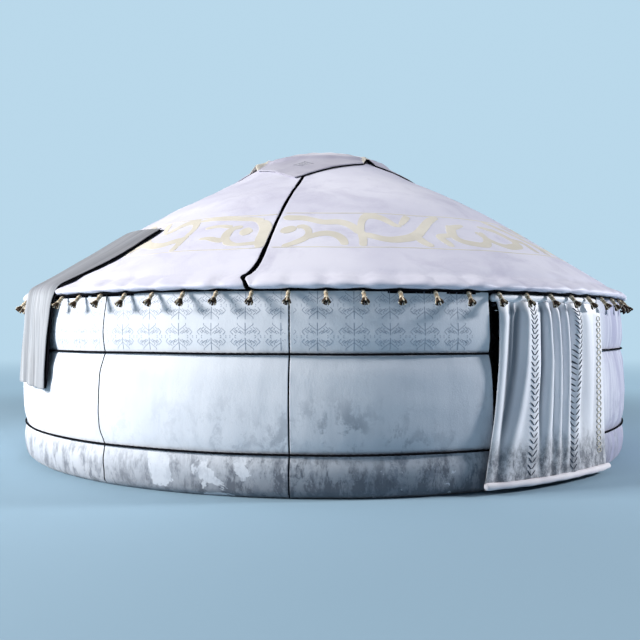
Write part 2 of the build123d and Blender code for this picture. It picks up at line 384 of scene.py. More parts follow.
def mat_felt(name, a, b, scale=1.5, bump=1.0, rough=0.92, sheen=0.25, dirt=0.0, fibre=420.0):
    m = Mat(name, rough=rough, sheen=sheen, spec=0.15)
    broad = m.noise(scale, 4, 0.5)
    c = m.mix(m.ramp(broad, 0.32, 0.68), a, b)
    if dirt:
        spots = m.noise(9.0, 6, 0.65)
        c = m.mix(m.math("MULTIPLY", m.ramp(spots, 0.58, 0.74), dirt), c, tuple(x * 0.45 for x in a))
    m.color(c)
    m.bump((m.noise(60.0, 5, 0.6), 0.22 * bump, 0.004), (m.noise(fibre, 3, 0.6), 0.3 * bump, 0.0012))
    return m.m


def mat_curtain():
    m = Mat("cloth_curtain", rough=0.55, sheen=0.2, spec=0.45)
    z = m.xyz()[2]
    broad = m.noise(2.2, 4, 0.5)
    c = m.mix(m.ramp(broad, 0.3, 0.7), (0.76, 0.77, 0.83), (0.86, 0.87, 0.92))
    edge = m.noise(8.0, 7, 0.66, m.mapping((1, 1, 0.6)))
    body = m.noise(15.0, 9, 0.78, m.mapping((1, 1, 0.65)))
    up = m.math("SUBTRACT", m.ramp(z, 0.62, 0.06), m.math("MULTIPLY", edge, 0.72))
    d = m.math("MULTIPLY", m.ramp(up, -0.10, 0.50), m.math("ADD", m.math("MULTIPLY", m.ramp(body, 0.36, 0.62), 0.75), 0.34), clamp=True)
    c = m.mix(m.math("MULTIPLY", d, 0.90), c, (0.075, 0.085, 0.11))
    # painted shade: the cloth is darkened down in its folds, where shade falls
    at = m.n.new("ShaderNodeAttribute")
    at.attribute_name = "fold_depth"
    c = m.mix(m.math("MULTIPLY", at.outputs["Fac"], 0.82), c, (0.11, 0.13, 0.17))
    m.color(c)
    # fine plain weave
    w1 = m.n.new("ShaderNodeTexWave"); w1.bands_direction = "Z"
    w1.inputs["Scale"].default_value = 190; w1.inputs["Distortion"].default_value = 0.4
    m.link(m.co, w1.inputs["Vector"])
    m.bump((m.noise(55.0, 4, 0.55), 0.15, 0.004), (w1.outputs["Fac"], 0.12, 0.0006))
    return m.m


def mat_flap():
    m = Mat("cloth_flap", rough=0.75, sheen=0.3, spec=0.25)
    x, y, z = m.xyz()[0:3]
    # threads run down the strip, so the tone changes across it
    v = m.mapping((0.25, 26.0, 0.5))
    st = m.noise(1.6, 5, 0.6, v)
    broad = m.noise(2.0, 3, 0.5)
    top = m.mix(m.ramp(st, 0.3, 0.7), (0.115, 0.12, 0.14), (0.27, 0.275, 0.31))
    low = m.mix(m.ramp(st, 0.3, 0.7), (0.20, 0.21, 0.235), (0.42, 0.43, 0.46))
    c = m.mix(m.ramp(z, 1.40, 1.50), low, top)
    wide = m.noise(1.1, 3, 0.5, m.mapping((0.15, 7.5, 0.2), (0, 0.7, 0)))
    c = m.mix(m.math("MULTIPLY", m.ramp(wide, 0.42, 0.60), 0.42), c, (0.10, 0.105, 0.12))
    c = m.mix(m.math("MULTIPLY", m.ramp(broad, 0.5, 0.75), 0.20), c, (0.22, 0.20, 0.19))
    m.color(c)
    v2 = m.mapping((1.0, 110.0, 2.0))
    m.bump((m.noise(2.0, 3, 0.5, v2), 0.5, 0.0016), (m.noise(300.0, 3, 0.6), 0.25, 0.001))
    return m.m


def mat_dark(name, c=(0.004, 0.004, 0.006), rough=0.95):
    m = Mat(name, rough=rough, spec=0.06)
    m.color(m.mix(m.noise(60.0, 4, 0.6), tuple(0.7 * v for v in c), tuple(1.6 * v for v in c)))
    m.bump((m.noise(300.0, 3, 0.6), 0.4, 0.001))
    return m.m


def mat_yarn(name, a, b, scale=160.0, rough=0.8, shade_to_right=0.0):
    """The last argument: how far the yarn is darkened towards the doorway's right, as painted shade."""
    m = Mat(name, rough=rough, spec=0.10, sheen=0.03)
    c = m.mix(m.ramp(m.noise(scale, 4, 0.65), 0.35, 0.65), a, b)
    # painted shade: the yarn darkened towards the doorway's right
    if shade_to_right:
        c = m.mix(m.math("MULTIPLY", m.ramp(m.xyz()[0], 0.7, 2.0), shade_to_right), c, tuple(0.10 * v for v in a))
    m.color(c)
    m.bump((m.noise(600.0, 2, 0.5), 0.5, 0.0008))
    return m.m


def mat_wood():
    m = Mat("wood_oiled", rough=0.6, spec=0.3)
    v = m.mapping((6.0, 6.0, 0.9))
    g = m.noise(9.0, 6, 0.6, v, 1.2)
    c = m.mix(m.ramp(g, 0.3, 0.7), (0.050, 0.026, 0.013), (0.14, 0.075, 0.038))
    m.color(c)
    m.bump((g, 0.3, 0.002))
    return m.m


M_WALL = mat_wall()
M_ROOF = mat_roof()
M_COVER = mat_felt("cloth_cover", (0.30, 0.285, 0.365), (0.45, 0.44, 0.52), 1.6, bump=0.8, rough=0.65)
M_HEMB = mat_felt("hem_beige", (0.50, 0.46, 0.40), (0.62, 0.58, 0.50), 9.0)
M_CURT = mat_curtain()
M_FLAP = mat_flap()
# near-black: the ropes' own dark colour, and also painted shade where it fills the cover's edge and the gap under the
# eave
M_DARK = mat_dark("dark_cord")
# near-black painted shade: fills the gaps at seams and laps, under the eave and beside the side flap
M_GAP_SHADE = mat_dark("dark_lining", (0.003, 0.003, 0.005), 0.95)
M_ORN = mat_felt("applique_straw", (0.56, 0.52, 0.44), (0.68, 0.635, 0.545), 3.0, rough=0.6)
M_STITCH = mat_dark("stitch_line", (0.26, 0.29, 0.36), 0.9)
M_BRAID = mat_dark("stitch_braid", (0.060, 0.067, 0.088), 0.9)
M_ROPE = mat_yarn("tassel_rope", (0.29, 0.21, 0.13), (0.54, 0.44, 0.32), shade_to_right=0.93)
M_ROLL = mat_felt("cloth_roll", (0.68, 0.655, 0.71), (0.79, 0.765, 0.81), 7.0, rough=0.6, dirt=0.25)
# door frame coloured near-black: painted shade of the dark doorway
M_DOOR_SHADE = mat_dark("wood_jamb_dark", (0.006, 0.005, 0.005), 0.8)
M_GOLD = mat_yarn("tassel_band", (0.58, 0.47, 0.32), (0.86, 0.77, 0.62), 90, shade_to_right=0.84)
M_SKIRT = mat_yarn("tassel_skirt", (0.024, 0.013, 0.009), (0.135, 0.085, 0.050), 220, shade_to_right=0.93)
M_HOLLOW_SHADE = mat_yarn("tassel_core", (0.010, 0.006, 0.004), (0.030, 0.018, 0.010), 220)
M_RINGS = mat_yarn("ring_chain", (0.50, 0.46, 0.38), (0.64, 0.61, 0.53), 120)
M_GREY = mat_felt("applique_grey", (0.17, 0.17, 0.22), (0.24, 0.24, 0.30), 8.0)
M_WOOD = mat_wood()

def paint_edge_shade(ob, lim=0.45, hem=2.984):
    """Painted shade: the felts' cut edges at laps and seams are coloured black, standing in for the shade in the gaps.
    """
    me = ob.data
    n = len(me.polygons)
    c, m = np.empty(n * 3), np.empty(n * 3)
    me.polygons.foreach_get("center", c)
    me.polygons.foreach_get("normal", m)
    c, m = c.reshape(-1, 3), m.reshape(-1, 3)
    r = np.maximum(np.hypot(c[:, 0], c[:, 1]), 1e-6)
    k = np.abs(-m[:, 0] * c[:, 1] / r + m[:, 1] * c[:, 0] / r) > lim
    # and the faces hidden under the eave, coloured black as painted shade
    k |= (c[:, 2] > 1.375) & (c[:, 2] < 1.460) & (r < 2.984)
    k |= (c[:, 2] < 1.430) & (c[:, 2] > 1.375) & (r < hem) & (m[:, 2] < 0.2)
    me.materials.append(M_GAP_SHADE)
    me.polygons.foreach_set("material_index", k.astype(np.int32))


# ------------------------------------------------------------------ wall felts
WALL_OUT = [(2950, 0), (2980, 25), (3001, 80), (3012, 160), (3008, 230), (2994, 299),
            (3008, 370), (3020, 480), (3025, 610), (3018, 760), (3006, 880), (2990, 970),
            (3001, 1050), (3005, 1154), (2998, 1250), (2988, 1330), (2984, 1405)]
rw = spline1([z / 1000 for r, z in WALL_OUT], [r / 1000 for r, z in WALL_OUT])
ROPES = (0.970, 0.299)
DOOR_HALF, FIRST = 12.1, 27.3
rest = (180 - DOOR_HALF - FIRST) / 5
SE = [DOOR_HALF, DOOR_HALF + FIRST]
for _ in range(5):
    SE.append(SE[-1] + rest)
SEAMS = {(-1, k): -SE[k] for k in range(7)} | {(1, k): SE[k] for k in range(7)}
wall_big = waves(3, 7, 0.5, 1.3)
wall_mid = waves(5, 9, 0.14, 0.34)
wall_sml = waves(6, 9, 0.05, 0.11)


def seam_shift(side, k, z):
    """How far a seam wanders from its azimuth, in degrees."""
    if k == 0:
        return 0.10 * np.sin(z * 5.1 + side)
    if k == 6:
        side = 1
    g = np.random.default_rng(40 + 7 * k + (0 if side < 0 else 3))
    amp = 0.62 if (side, k) == (-1, 2) else (0.0 if k == 1 else g.uniform(0.1, 0.5))
    sgn = -1 if (side, k) == (-1, 2) else g.choice([-1, 1])
    return sgn * amp * sstep(0.98, 0.78, z) * sstep(0.30, 0.45, z) + (0.02 if k == 1 else 0.10) * np.sin(z * 9 + g.uniform(0, 6)) \
        - (k != 1) * sgn * 0.25 * sstep(0.34, 0.22, z) * sstep(0.0, 0.12, z)


def wall_r(az, z):
    """Outer radius of the wall felts, without the seams."""
    u = np.radians(az) * 3.0
    r = rw(z)
    for zr in ROPES:
        r = r - 0.0065 * gauss(z, zr, 0.014)
        # little tucks where the rope presses the felt in
        r = r - 0.0016 * gauss(z, zr, 0.05) * (0.5 + 0.5 * np.sin(u * 41 + 3 * np.sin(u * 3.3)))
    calm = 1 - 0.75 * (gauss(z, ROPES[0], 0.03) + gauss(z, ROPES[1], 0.03))
    r = r + calm * (0.0030 * wall_big(u, z) + 0.0011 * wall_mid(u, z) + 0.0005 * wall_sml(u, z))
    return r


zs = [0.0, 0.012, 0.03, 0.055, 0.085, 0.12, 0.16, 0.20, 0.235]
for zr in (0.299, 0.970):
    zs += [zr - 0.045, zr - 0.03, zr - 0.02, zr - 0.012, zr - 0.005, zr + 0.005, zr + 0.012, zr + 0.02, zr + 0.03, zr + 0.045]
zs += list(np.arange(0.38, 0.91, 0.036)) + list(np.arange(1.05, 1.36, 0.036)) + [1.38, 1.392, 1.400, 1.4045]
ZW = np.array(sorted(zs))
d_edge = np.array([0, 0.0015, 0.0035, 0.006, 0.010, 0.018, 0.035])
for side in (-1, 1):
    for k in range(6):
        a0, a1 = SEAMS[(side, k)], SEAMS[(side, k + 1)]
        lo, hi = (a0, a1) if side > 0 else (a1, a0)
        klo, khi = (k, k + 1) if side > 0 else (k + 1, k)
        width = np.radians(hi - lo) * 3.0
        mid = np.linspace(0.075, width - 0.075, 40)
        d = np.concatenate([d_edge, mid, width - d_edge[::-1]])
        U = np.broadcast_to(d[None], (len(ZW), len(d)))
        Z = np.broadcast_to(ZW[:, None], U.shape)
        gap = 0.0022
        alo = lo + seam_shift(side, klo, Z) + np.degrees(gap / 3.0) * (klo != 0)
        ahi = hi + seam_shift(side, khi, Z) - np.degrees(gap / 3.0) * (khi != 0)
        AZ = alo + (ahi - alo) * U / width
        dist = np.minimum(U, width - U)
        # rounded, slightly thinned edges at the seams, foot and head
        edge = 1 - np.sqrt(np.clip(1 - (1 - np.clip(dist / 0.0065, 0, 1)) ** 2, 0, 1))
        ez = 1 - np.sqrt(np.clip(1 - (1 - np.clip(np.minimum(Z + 0.001, 1.4055 - Z) / 0.010, 0, 1)) ** 2, 0, 1))
        r = wall_r(AZ, Z)
        pillow = 0.0022 * np.exp(-dist / 0.03)
        r_out = r + pillow - 0.008 * edge - 0.010 * ez
        r_in = r - 0.026 + 0.009 * edge + 0.009 * ez
        r_in = np.minimum(r_in, r_out - 0.0015)
        ob = shell(f"wall_cloth_{'left' if side < 0 else 'right'}_{k + 1}", pol(AZ, r_out, Z), pol(AZ, r_in, Z), M_WALL)
        paint_edge_shade(ob, 0.6)
        finish_piece(ob, "wall_felt", f"wall_felt_{'left' if side < 0 else 'right'}_{k + 1}")

# stitched line motif on the upper band: a stem with angular hooks each side
MOTIF = [[(0, 8), (0, 93)],
         [(0, 40), (30, 62), (55, 82), (55, 92)],
         [(10, 22), (30, 40), (39, 32), (25, 18)],
         [(38, 58), (48, 49), (34, 35), (43, 26), (62, 44)],
         [(54, 66), (64, 57), (73, 48), (58, 33), (66, 24), (82, 40)],
         [(74, 60), (90, 47), (104, 34), (86, 14)],
         [(66, 10), (74, 3)],
         [(108, 2), (108, 9)]]


def on_wall(az, z, off):
    return pol(az, wall_r(az, z) + off, z)


batch = Batch()
N_T = 76
PH = -1.54
N_M = 77
for i in range(N_M):
    az0 = i * 360 / N_M - 3.062
    if 12 < az0 < 44:
        continue
    az0 = (az0 + 180) % 360 - 180
    if abs(az0) < DOOR_HALF + 1.2:
        continue
    for row, zc in enumerate((1.299, 1.088)):
        for s in (-1, 1):
            for up in (-1, 1):
                for li, line in enumerate(MOTIF):
                    if s < 0 and li == 0:
                        continue
                    p = np.array(line, float)
                    p[:, 1] *= up
                    P = []
                    for q0, q1 in zip(p[:-1], p[1:]):
                        m = max(1, int(np.linalg.norm(q1 - q0) // 26))
                        P += [q0 + (q1 - q0) * j / m for j in range(m)]
                    P.append(p[-1])
                    P = np.array(P) / 1000
                    t = np.gradient(P, axis=0)
                    t /= np.linalg.norm(t, axis=1, keepdims=True)
                    nn = np.stack([-t[:, 1], t[:, 0]], 1)
                    w = 0.0015 if li else 0.0020
                    G = np.stack([P - nn * w, P + nn * w], 1)
                    az = az0 + np.degrees(s * G[..., 0] / 3.0)
                    z = zc + G[..., 1]
                    batch.shell(on_wall(az, z, 0.0007), on_wall(az, z, -0.0030))
ob = batch.done("wall_stitching", [M_STITCH], smooth=False)
finish_piece(ob, "wall_felt")

# ------------------------------------------------------------------ girth ropes
for name, z0, r_at in (("girth_rope_upper", 0.970, 2.990), ("girth_rope_lower", 0.299, 2.994)):
    az = np.linspace(DOOR_HALF + 0.2, 360 - DOOR_HALF - 0.2, 1050)
    u = np.radians(az) * 3
    rr = r_at + 0.0085 + 0.0006 * np.sin(u * 5.3)
    path = pol(az, rr, z0 + 0.0016 * np.sin(u * 1.7) + 0.0008 * np.sin(u * 6.1))
    rad = np.full(len(az), 0.0088)
    G = tube(path, rad, sides=9, twist=2 * math.pi / 0.075, lobes=3, depth=0.22)
    V, F = tube_arrays(G)
    finish_piece(new_mesh(name.replace("girth_", "") + "_strands", V, F, M_DARK), "dark_rope", name)

# ------------------------------------------------------------------ roof felts
ROOF_OUT = [(3009, 1460), (2866, 1550), (2615, 1700), (2306, 1900), (2006, 2100),
            (1684, 2300), (1310, 2500), (959, 2700), (719, 2850)]
HEM = [(2980, 1424), (2992, 1416), (3018, 1412.5), (3038, 1419), (3045, 1434), (3034, 1450), (3009, 1465)]
pts = np.array(HEM + ROOF_OUT[1:-1] + [(712, 2853)], float) / 1000
s_at = np.concatenate([[0], np.cumsum(np.linalg.norm(np.diff(pts, axis=0), axis=1))])
roof_rs, roof_zs = spline1(s_at, pts[:, 0]), spline1(s_at, pts[:, 1])
S_HEM = s_at[6]
S_END = s_at[-1]
s_dense = np.linspace(S_HEM, S_END, 400)
_rd, _zd = roof_rs(s_dense), roof_zs(s_dense)


def roof_z(r):
    return np.interp(r, _rd[::-1], _zd[::-1])


def roof_s(r):
    return np.interp(r, _rd[::-1], s_dense[::-1])


roof_big = waves(21, 7, 0.7, 1.8)
roof_mid = waves(22, 9, 0.16, 0.4)
FLAP_Y = 0.383
FLAP_Y0 = -0.182


def roof_point(az, s, off=0.0):
    """A point of the roof's outer face at profile length s, with the hem's puffs."""
    az = np.asarray(az, float)
    s = np.asarray(s, float)
    r, z = roof_rs(s), roof_zs(s)
    e = 0.004
    dr, dz = roof_rs(s + e) - roof_rs(s - e), roof_zs(s + e) - roof_zs(s - e)
    L = np.hypot(dr, dz)
    nr, nz = dz / L, -dr / L
    u = np.radians(az) * r
    ph = np.pi * (az - PH) * N_T / 360
    # the hem is caught down at each tassel and swells between
    near = sstep(S_HEM + 0.20, S_HEM - 0.03, s) * sstep(0.0, 0.03, s)
    puff = np.abs(np.sin(ph)) ** 0.55
    uneven = 1 + 0.35 * np.sin(az * 1.3 + 0.7) * np.sin(az * 0.37)
    d = near * (-0.0135 + 0.0225 * puff * uneven) * (0.45 + 0.55 * sstep(S_HEM * 0.35, S_HEM * 0.95, s))
    d = d - 0.0105 * gauss(s, S_HEM + 0.120, 0.030) * (1 - 0.45 * puff) + 0.0030 * gauss(s, S_HEM + 0.21, 0.05)
    # the roof is fuller on the side right of the door
    daz = (az - 20 + 180) % 360 - 180
    d = d + 0.024 * np.exp(-(daz / 42.0) ** 2) * sstep(S_HEM + 0.02, S_HEM + 0.5, s) * sstep(S_END - 0.25, S_END - 0.8, s)
    fade = sstep(S_END, S_END - 0.1, s) * sstep(S_HEM - 0.02, S_HEM + 0.10, s)
    d = d + fade * (0.0042 * roof_big(u, s) + 0.0011 * roof_mid(u, s)) + off
    return pol(az, r + nr * d, z + nz * d)


def seam_line(idx, s):
    """Where the roof lap runs, in degrees away from its diagonal."""
    g = np.random.default_rng(60 + idx)
    k = 1.0 if idx == 0 else g.uniform(0.4, 1.0)
    a = -1.05 * k * gauss(s, S_HEM + 0.055, 0.085)
    a = a + 0.25 * np.sin(s * 2.3 + g.uniform(0, 6)) * sstep(S_HEM + 0.1, S_HEM + 0.5, s)
    return a + 0.45


S_ROW = np.concatenate([np.linspace(0, S_HEM, 15)[:-1], S_HEM + np.array([0, 0.012, 0.026, 0.042, 0.06, 0.085, 0.115, 0.15, 0.19, 0.235]),
                        np.linspace(S_HEM + 0.285, S_END, 46)])


inner_pts = []
for (r, z), (r2, z2) in zip(ROOF_OUT[1:], ROOF_OUT[2:] + [(600, 2925)]):
    inner_pts.append((r, z))
ROOF_T = 0.024
for name, a0, i0, i1 in (("roof_felt_front", -45, 0, 1), ("roof_felt_right", 45, 1, 2),
                         ("roof_felt_back", 135, 2, 3), ("roof_felt_left", 225, 3, 0)):
    n_c = 150
    t = np.linspace(0, 1, n_c)
    t = np.concatenate([[0, 0.0008, 0.0020, 0.0038, 0.0064, 0.010, 0.0145], np.linspace(0.021, 0.979, n_c - 14),
                        1 - np.array([0.0145, 0.010, 0.0064, 0.0038, 0.0020, 0.0008, 0])])
    S = np.broadcast_to(S_ROW[:, None], (len(S_ROW), len(t)))
    T = np.broadcast_to(t[None], S.shape)
    R = roof_rs(S)
    # half of the lap's gap: tight at the crown, widest above the hem
    half = 0.0085 + 0.0035 * gauss(S, S_HEM + 0.30, 0.25) + 0.0015 * np.sin(S * 5.0) - 0.005 * sstep(S_END - 0.35, S_END - 0.1, S)
    corner0 = 0.050 * (1 - np.sqrt(np.clip(1 - (1 - np.clip(S / 0.085, 0, 1)) ** 2, 0, 1)))
    lo = a0 + seam_line(i0, S) + np.degrees((half + corner0) / R)
    hi = a0 + 90 + seam_line(i1, S) - np.degrees((half + 0.4 * corner0) / R)
    AZ = lo + (hi - lo) * T
    width = np.radians(hi - lo) * R
    dist = np.minimum(T, 1 - T) * width
    edge = 1 - np.sqrt(np.clip(1 - (1 - np.clip(dist / 0.020, 0, 1)) ** 2, 0, 1))
    roll = 0.0055 * np.exp(-dist / 0.05) * sstep(S_END, S_END - 0.4, S)
    off = roll - 0.013 * edge
    if name == "roof_felt_left":
        y = -R * np.cos(np.radians(AZ))
        under = sstep(FLAP_Y + 0.035, FLAP_Y - 0.01, FLAP_Y0 - y) * sstep(FLAP_Y + 0.62, FLAP_Y + 0.36, y - FLAP_Y0)
        flat = under * sstep(S_HEM + 0.12, S_HEM - 0.02, S)
    else:
        flat = 0 * AZ
    A = roof_point(AZ, S, off)
    rr = np.hypot(A[..., 0], A[..., 1])
    tgt = np.minimum(rr, 2.990)
    A[..., :2] *= ((rr * (1 - flat) + tgt * flat) / rr)[..., None]
    # inner face: in from the outer one, flattened behind the hem
    th = ROOF_T - 0.011 * edge
    Bq = roof_point(AZ, np.maximum(S, S_HEM + 0.02), off - th)
    rb = np.hypot(Bq[..., 0], Bq[..., 1])
    hemk = sstep(S_HEM + 0.03, S_HEM * 0.35, S)
    r_in = np.minimum(rb, 2.965 + 0.0 * rb) * hemk + rb * (1 - hemk)
    z_in = Bq[..., 2] * (1 - hemk) + (1.436 + 0.02 * S / S_HEM) * hemk
    B = pol(AZ, r_in, z_in)
    ob = shell(name.replace("felt", "cloth"), A, B, M_ROOF)
    paint_edge_shade(ob, hem=3.006)
    finish_piece(ob, "roof_felt", name)

# a black strip behind each lap: painted shade in the lap's gap
for i, (name, a0) in enumerate((("front_left", -45), ("front_right", 45), ("back_right", 135), ("back_left", 225))):
    S = np.linspace(0.11, S_END - 0.02, 60)
    S2 = np.broadcast_to(S[:, None], (60, 7))
    R2 = roof_rs(S2)
    AZ = a0 + seam_line(i, S2) + np.degrees(np.linspace(-0.055, 0.055, 7)[None] / R2)
    sag = -0.0275 - 0.0015 * np.sin(S2 * 7)
    A, B = roof_point(AZ, S2, sag), roof_point(AZ, S2, sag - 0.004)
    ob = shell("roof_lap_strip_" + name, A, B, M_GAP_SHADE)
    finish_piece(ob, "roof_felt")

# scroll band sewn on the roof: half of one felt's width, mirrored at each lap
SCROLL = [
    [(0.5, 2.115, 68), (2.2, 2.124, 78), (4.7, 2.128, 72), (7.2, 2.165, 70), (9.6, 2.195, 76), (11.9, 2.189, 82), (13.8, 2.217, 84), (15.3, 2.287, 81), (16.3, 2.358, 88)],
    [(3.8, 2.273, 40), (5.1, 2.26, 58), (6.1, 2.298, 54), (6.4, 2.362, 50), (5.8, 2.432, 62), (4.6, 2.478, 62), (3.1, 2.520, 50), (2.1, 2.535, 30)],
    [(1.0, 2.335, 70), (2.0, 2.312, 92), (3.0, 2.290, 88), (3.9, 2.268, 60)],
    [(5.8, 2.418, 58), (7.0, 2.396, 61), (8.5, 2.369, 68), (10.2, 2.363, 74), (11.6, 2.391, 75), (12.5, 2.452, 68), (12.7, 2.534, 50)],
    [(16.3, 2.315, 72), (16.2, 2.415, 62), (15.7, 2.547, 50)],
    [(16.2, 2.329, 56), (16.6, 2.243, 56), (17.4, 2.153, 64), (18.7, 2.094, 84), (20.6, 2.096, 92), (22.0, 2.131, 84), (23.0, 2.185, 70), (23.9, 2.227, 56), (25.2, 2.237, 26)],
    [(24.9, 2.224, 38), (26.7, 2.144, 60), (28.4, 2.068, 62)],
    [(16.6, 2.372, 86), (17.9, 2.39, 76), (19.5, 2.424, 80), (21.1, 2.44, 82), (23.3, 2.429, 86), (26.0, 2.387, 88), (28.4, 2.304, 78), (30.9, 2.203, 74), (33.9, 2.106, 70), (36.4, 2.060, 40)],
    [(26.7, 2.377, 80), (27.0, 2.446, 78), (27.6, 2.494, 72), (28.5, 2.529, 50)],
    [(32.1, 2.525, 46), (32.0, 2.451, 76), (31.7, 2.378, 70), (33.4, 2.350, 60), (35.2, 2.340, 64)],
    [(37.2, 2.174, 60), (36.9, 2.216, 84), (35.6, 2.300, 86), (35.4, 2.391, 86), (36.4, 2.432, 84), (38.2, 2.451, 82), (40.4, 2.46, 80), (42.0, 2.424, 66), (43.7, 2.328, 60), (44.3, 2.252, 36)],
    [(36.9, 2.220, 70), (39.2, 2.190, 56), (41.4, 2.166, 26)],
]
# on the other side of the lap the spiral sits a little further off, with a wedge beside the seam
SCROLL_L = [
    [(6.8, 2.302, 70), (5.4, 2.304, 112), (4.0, 2.302, 66)],
    [(6.6, 2.245, 40), (7.8, 2.242, 60), (8.7, 2.262, 70), (9.1, 2.312, 80), (8.9, 2.375, 74), (8.0, 2.435, 58), (6.5, 2.480, 54), (5.1, 2.491, 26)],
    [(8.4, 2.420, 76), (9.7, 2.414, 67), (11.3, 2.393, 56), (12.9, 2.376, 40), (14.6, 2.384, 24)],
    [(4.6, 2.133, 50), (2.9, 2.183, 90), (1.7, 2.257, 104), (1.3, 2.344, 108), (1.2, 2.430, 104), (1.0, 2.512, 84), (1.0, 2.560, 36)],
    [(20.5, 2.102, 24), (18.0, 2.082, 42), (13.4, 2.078, 50), (10.3, 2.086, 54), (7.5, 2.100, 58), (4.9, 2.120, 66), (3.2, 2.158, 90)],
    [(15.9, 2.216, 44), (14.6, 2.206, 60), (13.0, 2.196, 54), (11.0, 2.206, 52), (9.2, 2.232, 50)],
    [(8.3, 2.440, 52), (6.8, 2.480, 46), (5.0, 2.489, 40), (3.2, 2.483, 44), (1.3, 2.478, 52)],
] + [[(t + 2.2, r, w) for t, r, w in line] for line in SCROLL[4:]]


def cat(P, step):
    """Smooth line through the points, sampled about every step."""
    P = np.asarray(P, float)
    d = np.concatenate([[0], np.cumsum(np.linalg.norm(np.diff(P, axis=0), axis=1))])
    fx, fy = spline1(d, P[:, 0]), spline1(d, P[:, 1])
    n = max(3, int(d[-1] / step))
    t = np.linspace(0, d[-1], n)
    return np.stack([fx(t), fy(t)], 1)


batch = Batch()
R_MID = 2.3


def lap_rise(az, s):
    """How the felt's face rises and rounds off beside a lap."""
    near = np.full(np.shape(az * s), 9.0)
    half = 0.0085 + 0.0035 * gauss(s, S_HEM + 0.30, 0.25) + 0.0015 * np.sin(s * 5.0)
    for i, a in enumerate((-45, 45, 135, 225)):
        d = np.abs((az - a - seam_line(i, s) + 180) % 360 - 180)
        near = np.minimum(near, np.radians(d) * roof_rs(s) - half)
    near = np.maximum(near, 0.0)
    edge = 1 - np.sqrt(np.clip(1 - (1 - np.clip(near / 0.020, 0, 1)) ** 2, 0, 1))
    return 0.0055 * np.exp(-near / 0.05) * sstep(S_END, S_END - 0.4, s) - 0.013 * edge + 0.0006 + 0.0026 * np.exp(-near / 0.16)


def roof_strip(P, w, h=0.0011):
    """P in (azimuth degrees, radius), w the width along it: a sewn strip, nearly flush."""
    Q = np.stack([np.radians(P[:, 0]) * R_MID, P[:, 1]], 1)
    t = np.gradient(Q, axis=0)
    t /= np.maximum(np.linalg.norm(t, axis=1, keepdims=True), 1e-9)
    nn = np.stack([-t[:, 1], t[:, 0]], 1)
    k = np.array([-1, -0.93, -0.3, 0.3, 0.93, 1]) / 2
    w = np.broadcast_to(np.asarray(w, float), (len(Q),)).copy()
    d = np.concatenate([[0], np.cumsum(np.linalg.norm(np.diff(Q, axis=0), axis=1))])
    e = np.clip(np.minimum(d, d[-1] - d) / (0.5 * np.maximum(w, 0.002)), 0, 1)
    w *= np.sqrt(np.clip(1 - (1 - e) ** 2, 0.03, 1))
    G = Q[:, None] + nn[:, None] * (k[None] * w[:, None])[..., None]
    az = np.degrees(G[..., 0] / R_MID)
    s = roof_s(G[..., 1])
    # kept on its own felt, short of the lap
    for i, a in enumerate((-45, 45, 135, 225, 315)):
        lap = a + seam_line(i % 4, s)
        gap = np.degrees(0.018 / roof_rs(s))
        side = np.sign(np.median(az) - a)
        if abs(np.median(az) - a) < 20:
            az = np.where(side * (az - lap) < gap, lap + side * gap, az)
    hh = np.array([-0.0015, 0.8, 1, 1, 0.8, -0.0015])[None] * h + 0 * az
    hh[0], hh[-1] = -0.0012, -0.0012
    lr = lap_rise(az, s)
    batch.shell(roof_point(az, s, hh + lr), roof_point(az, s, lr - 0.003))


for corner in (-45, 45, 135, 225):
    for m in (1, -1):
        c_at = corner + (360 if m < 0 and corner < 0 else 0)
        for j, line in enumerate(SCROLL if m > 0 else SCROLL_L):
            P = np.array(line, float)
            L = np.stack([np.radians(P[:, 0]) * R_MID, P[:, 1]], 1)
            d = np.concatenate([[0], np.cumsum(np.linalg.norm(np.diff(L, axis=0), axis=1))])
            L2 = cat(L, 0.013)
            wd = np.interp(np.linspace(0, d[-1], len(L2)), d, P[:, 2]) / 1000
            P = np.stack([np.degrees(L2[:, 0] / R_MID) * m + c_at + 0.5 + 0.35 * m, L2[:, 1]], 1)
            roof_strip(P, wd, 0.00075 + 0.00005 * j)
    for r_line, w in ((2.050, 0.011), (2.555, 0.010)):
        a = np.linspace(corner + 1.3, corner + 89.9, 150)
        roof_strip(np.stack([a, r_line + 0.004 * np.sin(a * 0.35)], 1), w, 0.0008)
ob = batch.done("roof_scrollwork", [M_ORN], smooth=False)
finish_piece(ob, "roof_felt")

# ------------------------------------------------------------------ eave cord
# a real cord whose near-black colour also serves as painted shade of the gap under the eave
az = np.linspace(-78.5, 265.5, 900)
u = np.radians(az) * 3
path = pol(az, 3.008 + 0.001 * np.sin(u * 9), 1.402 + 0.0012 * np.sin(u * 4.1))
G = tube(path, np.full(len(az), 0.0085), sides=8, twist=2 * math.pi / 0.05, lobes=2, depth=0.2)
V, F = tube_arrays(G)
finish_piece(new_mesh("eave_cord_twist", V, F, M_DARK), "dark_rope", "eave_cord")

# ------------------------------------------------------------------ tassels
TILT = 40.0


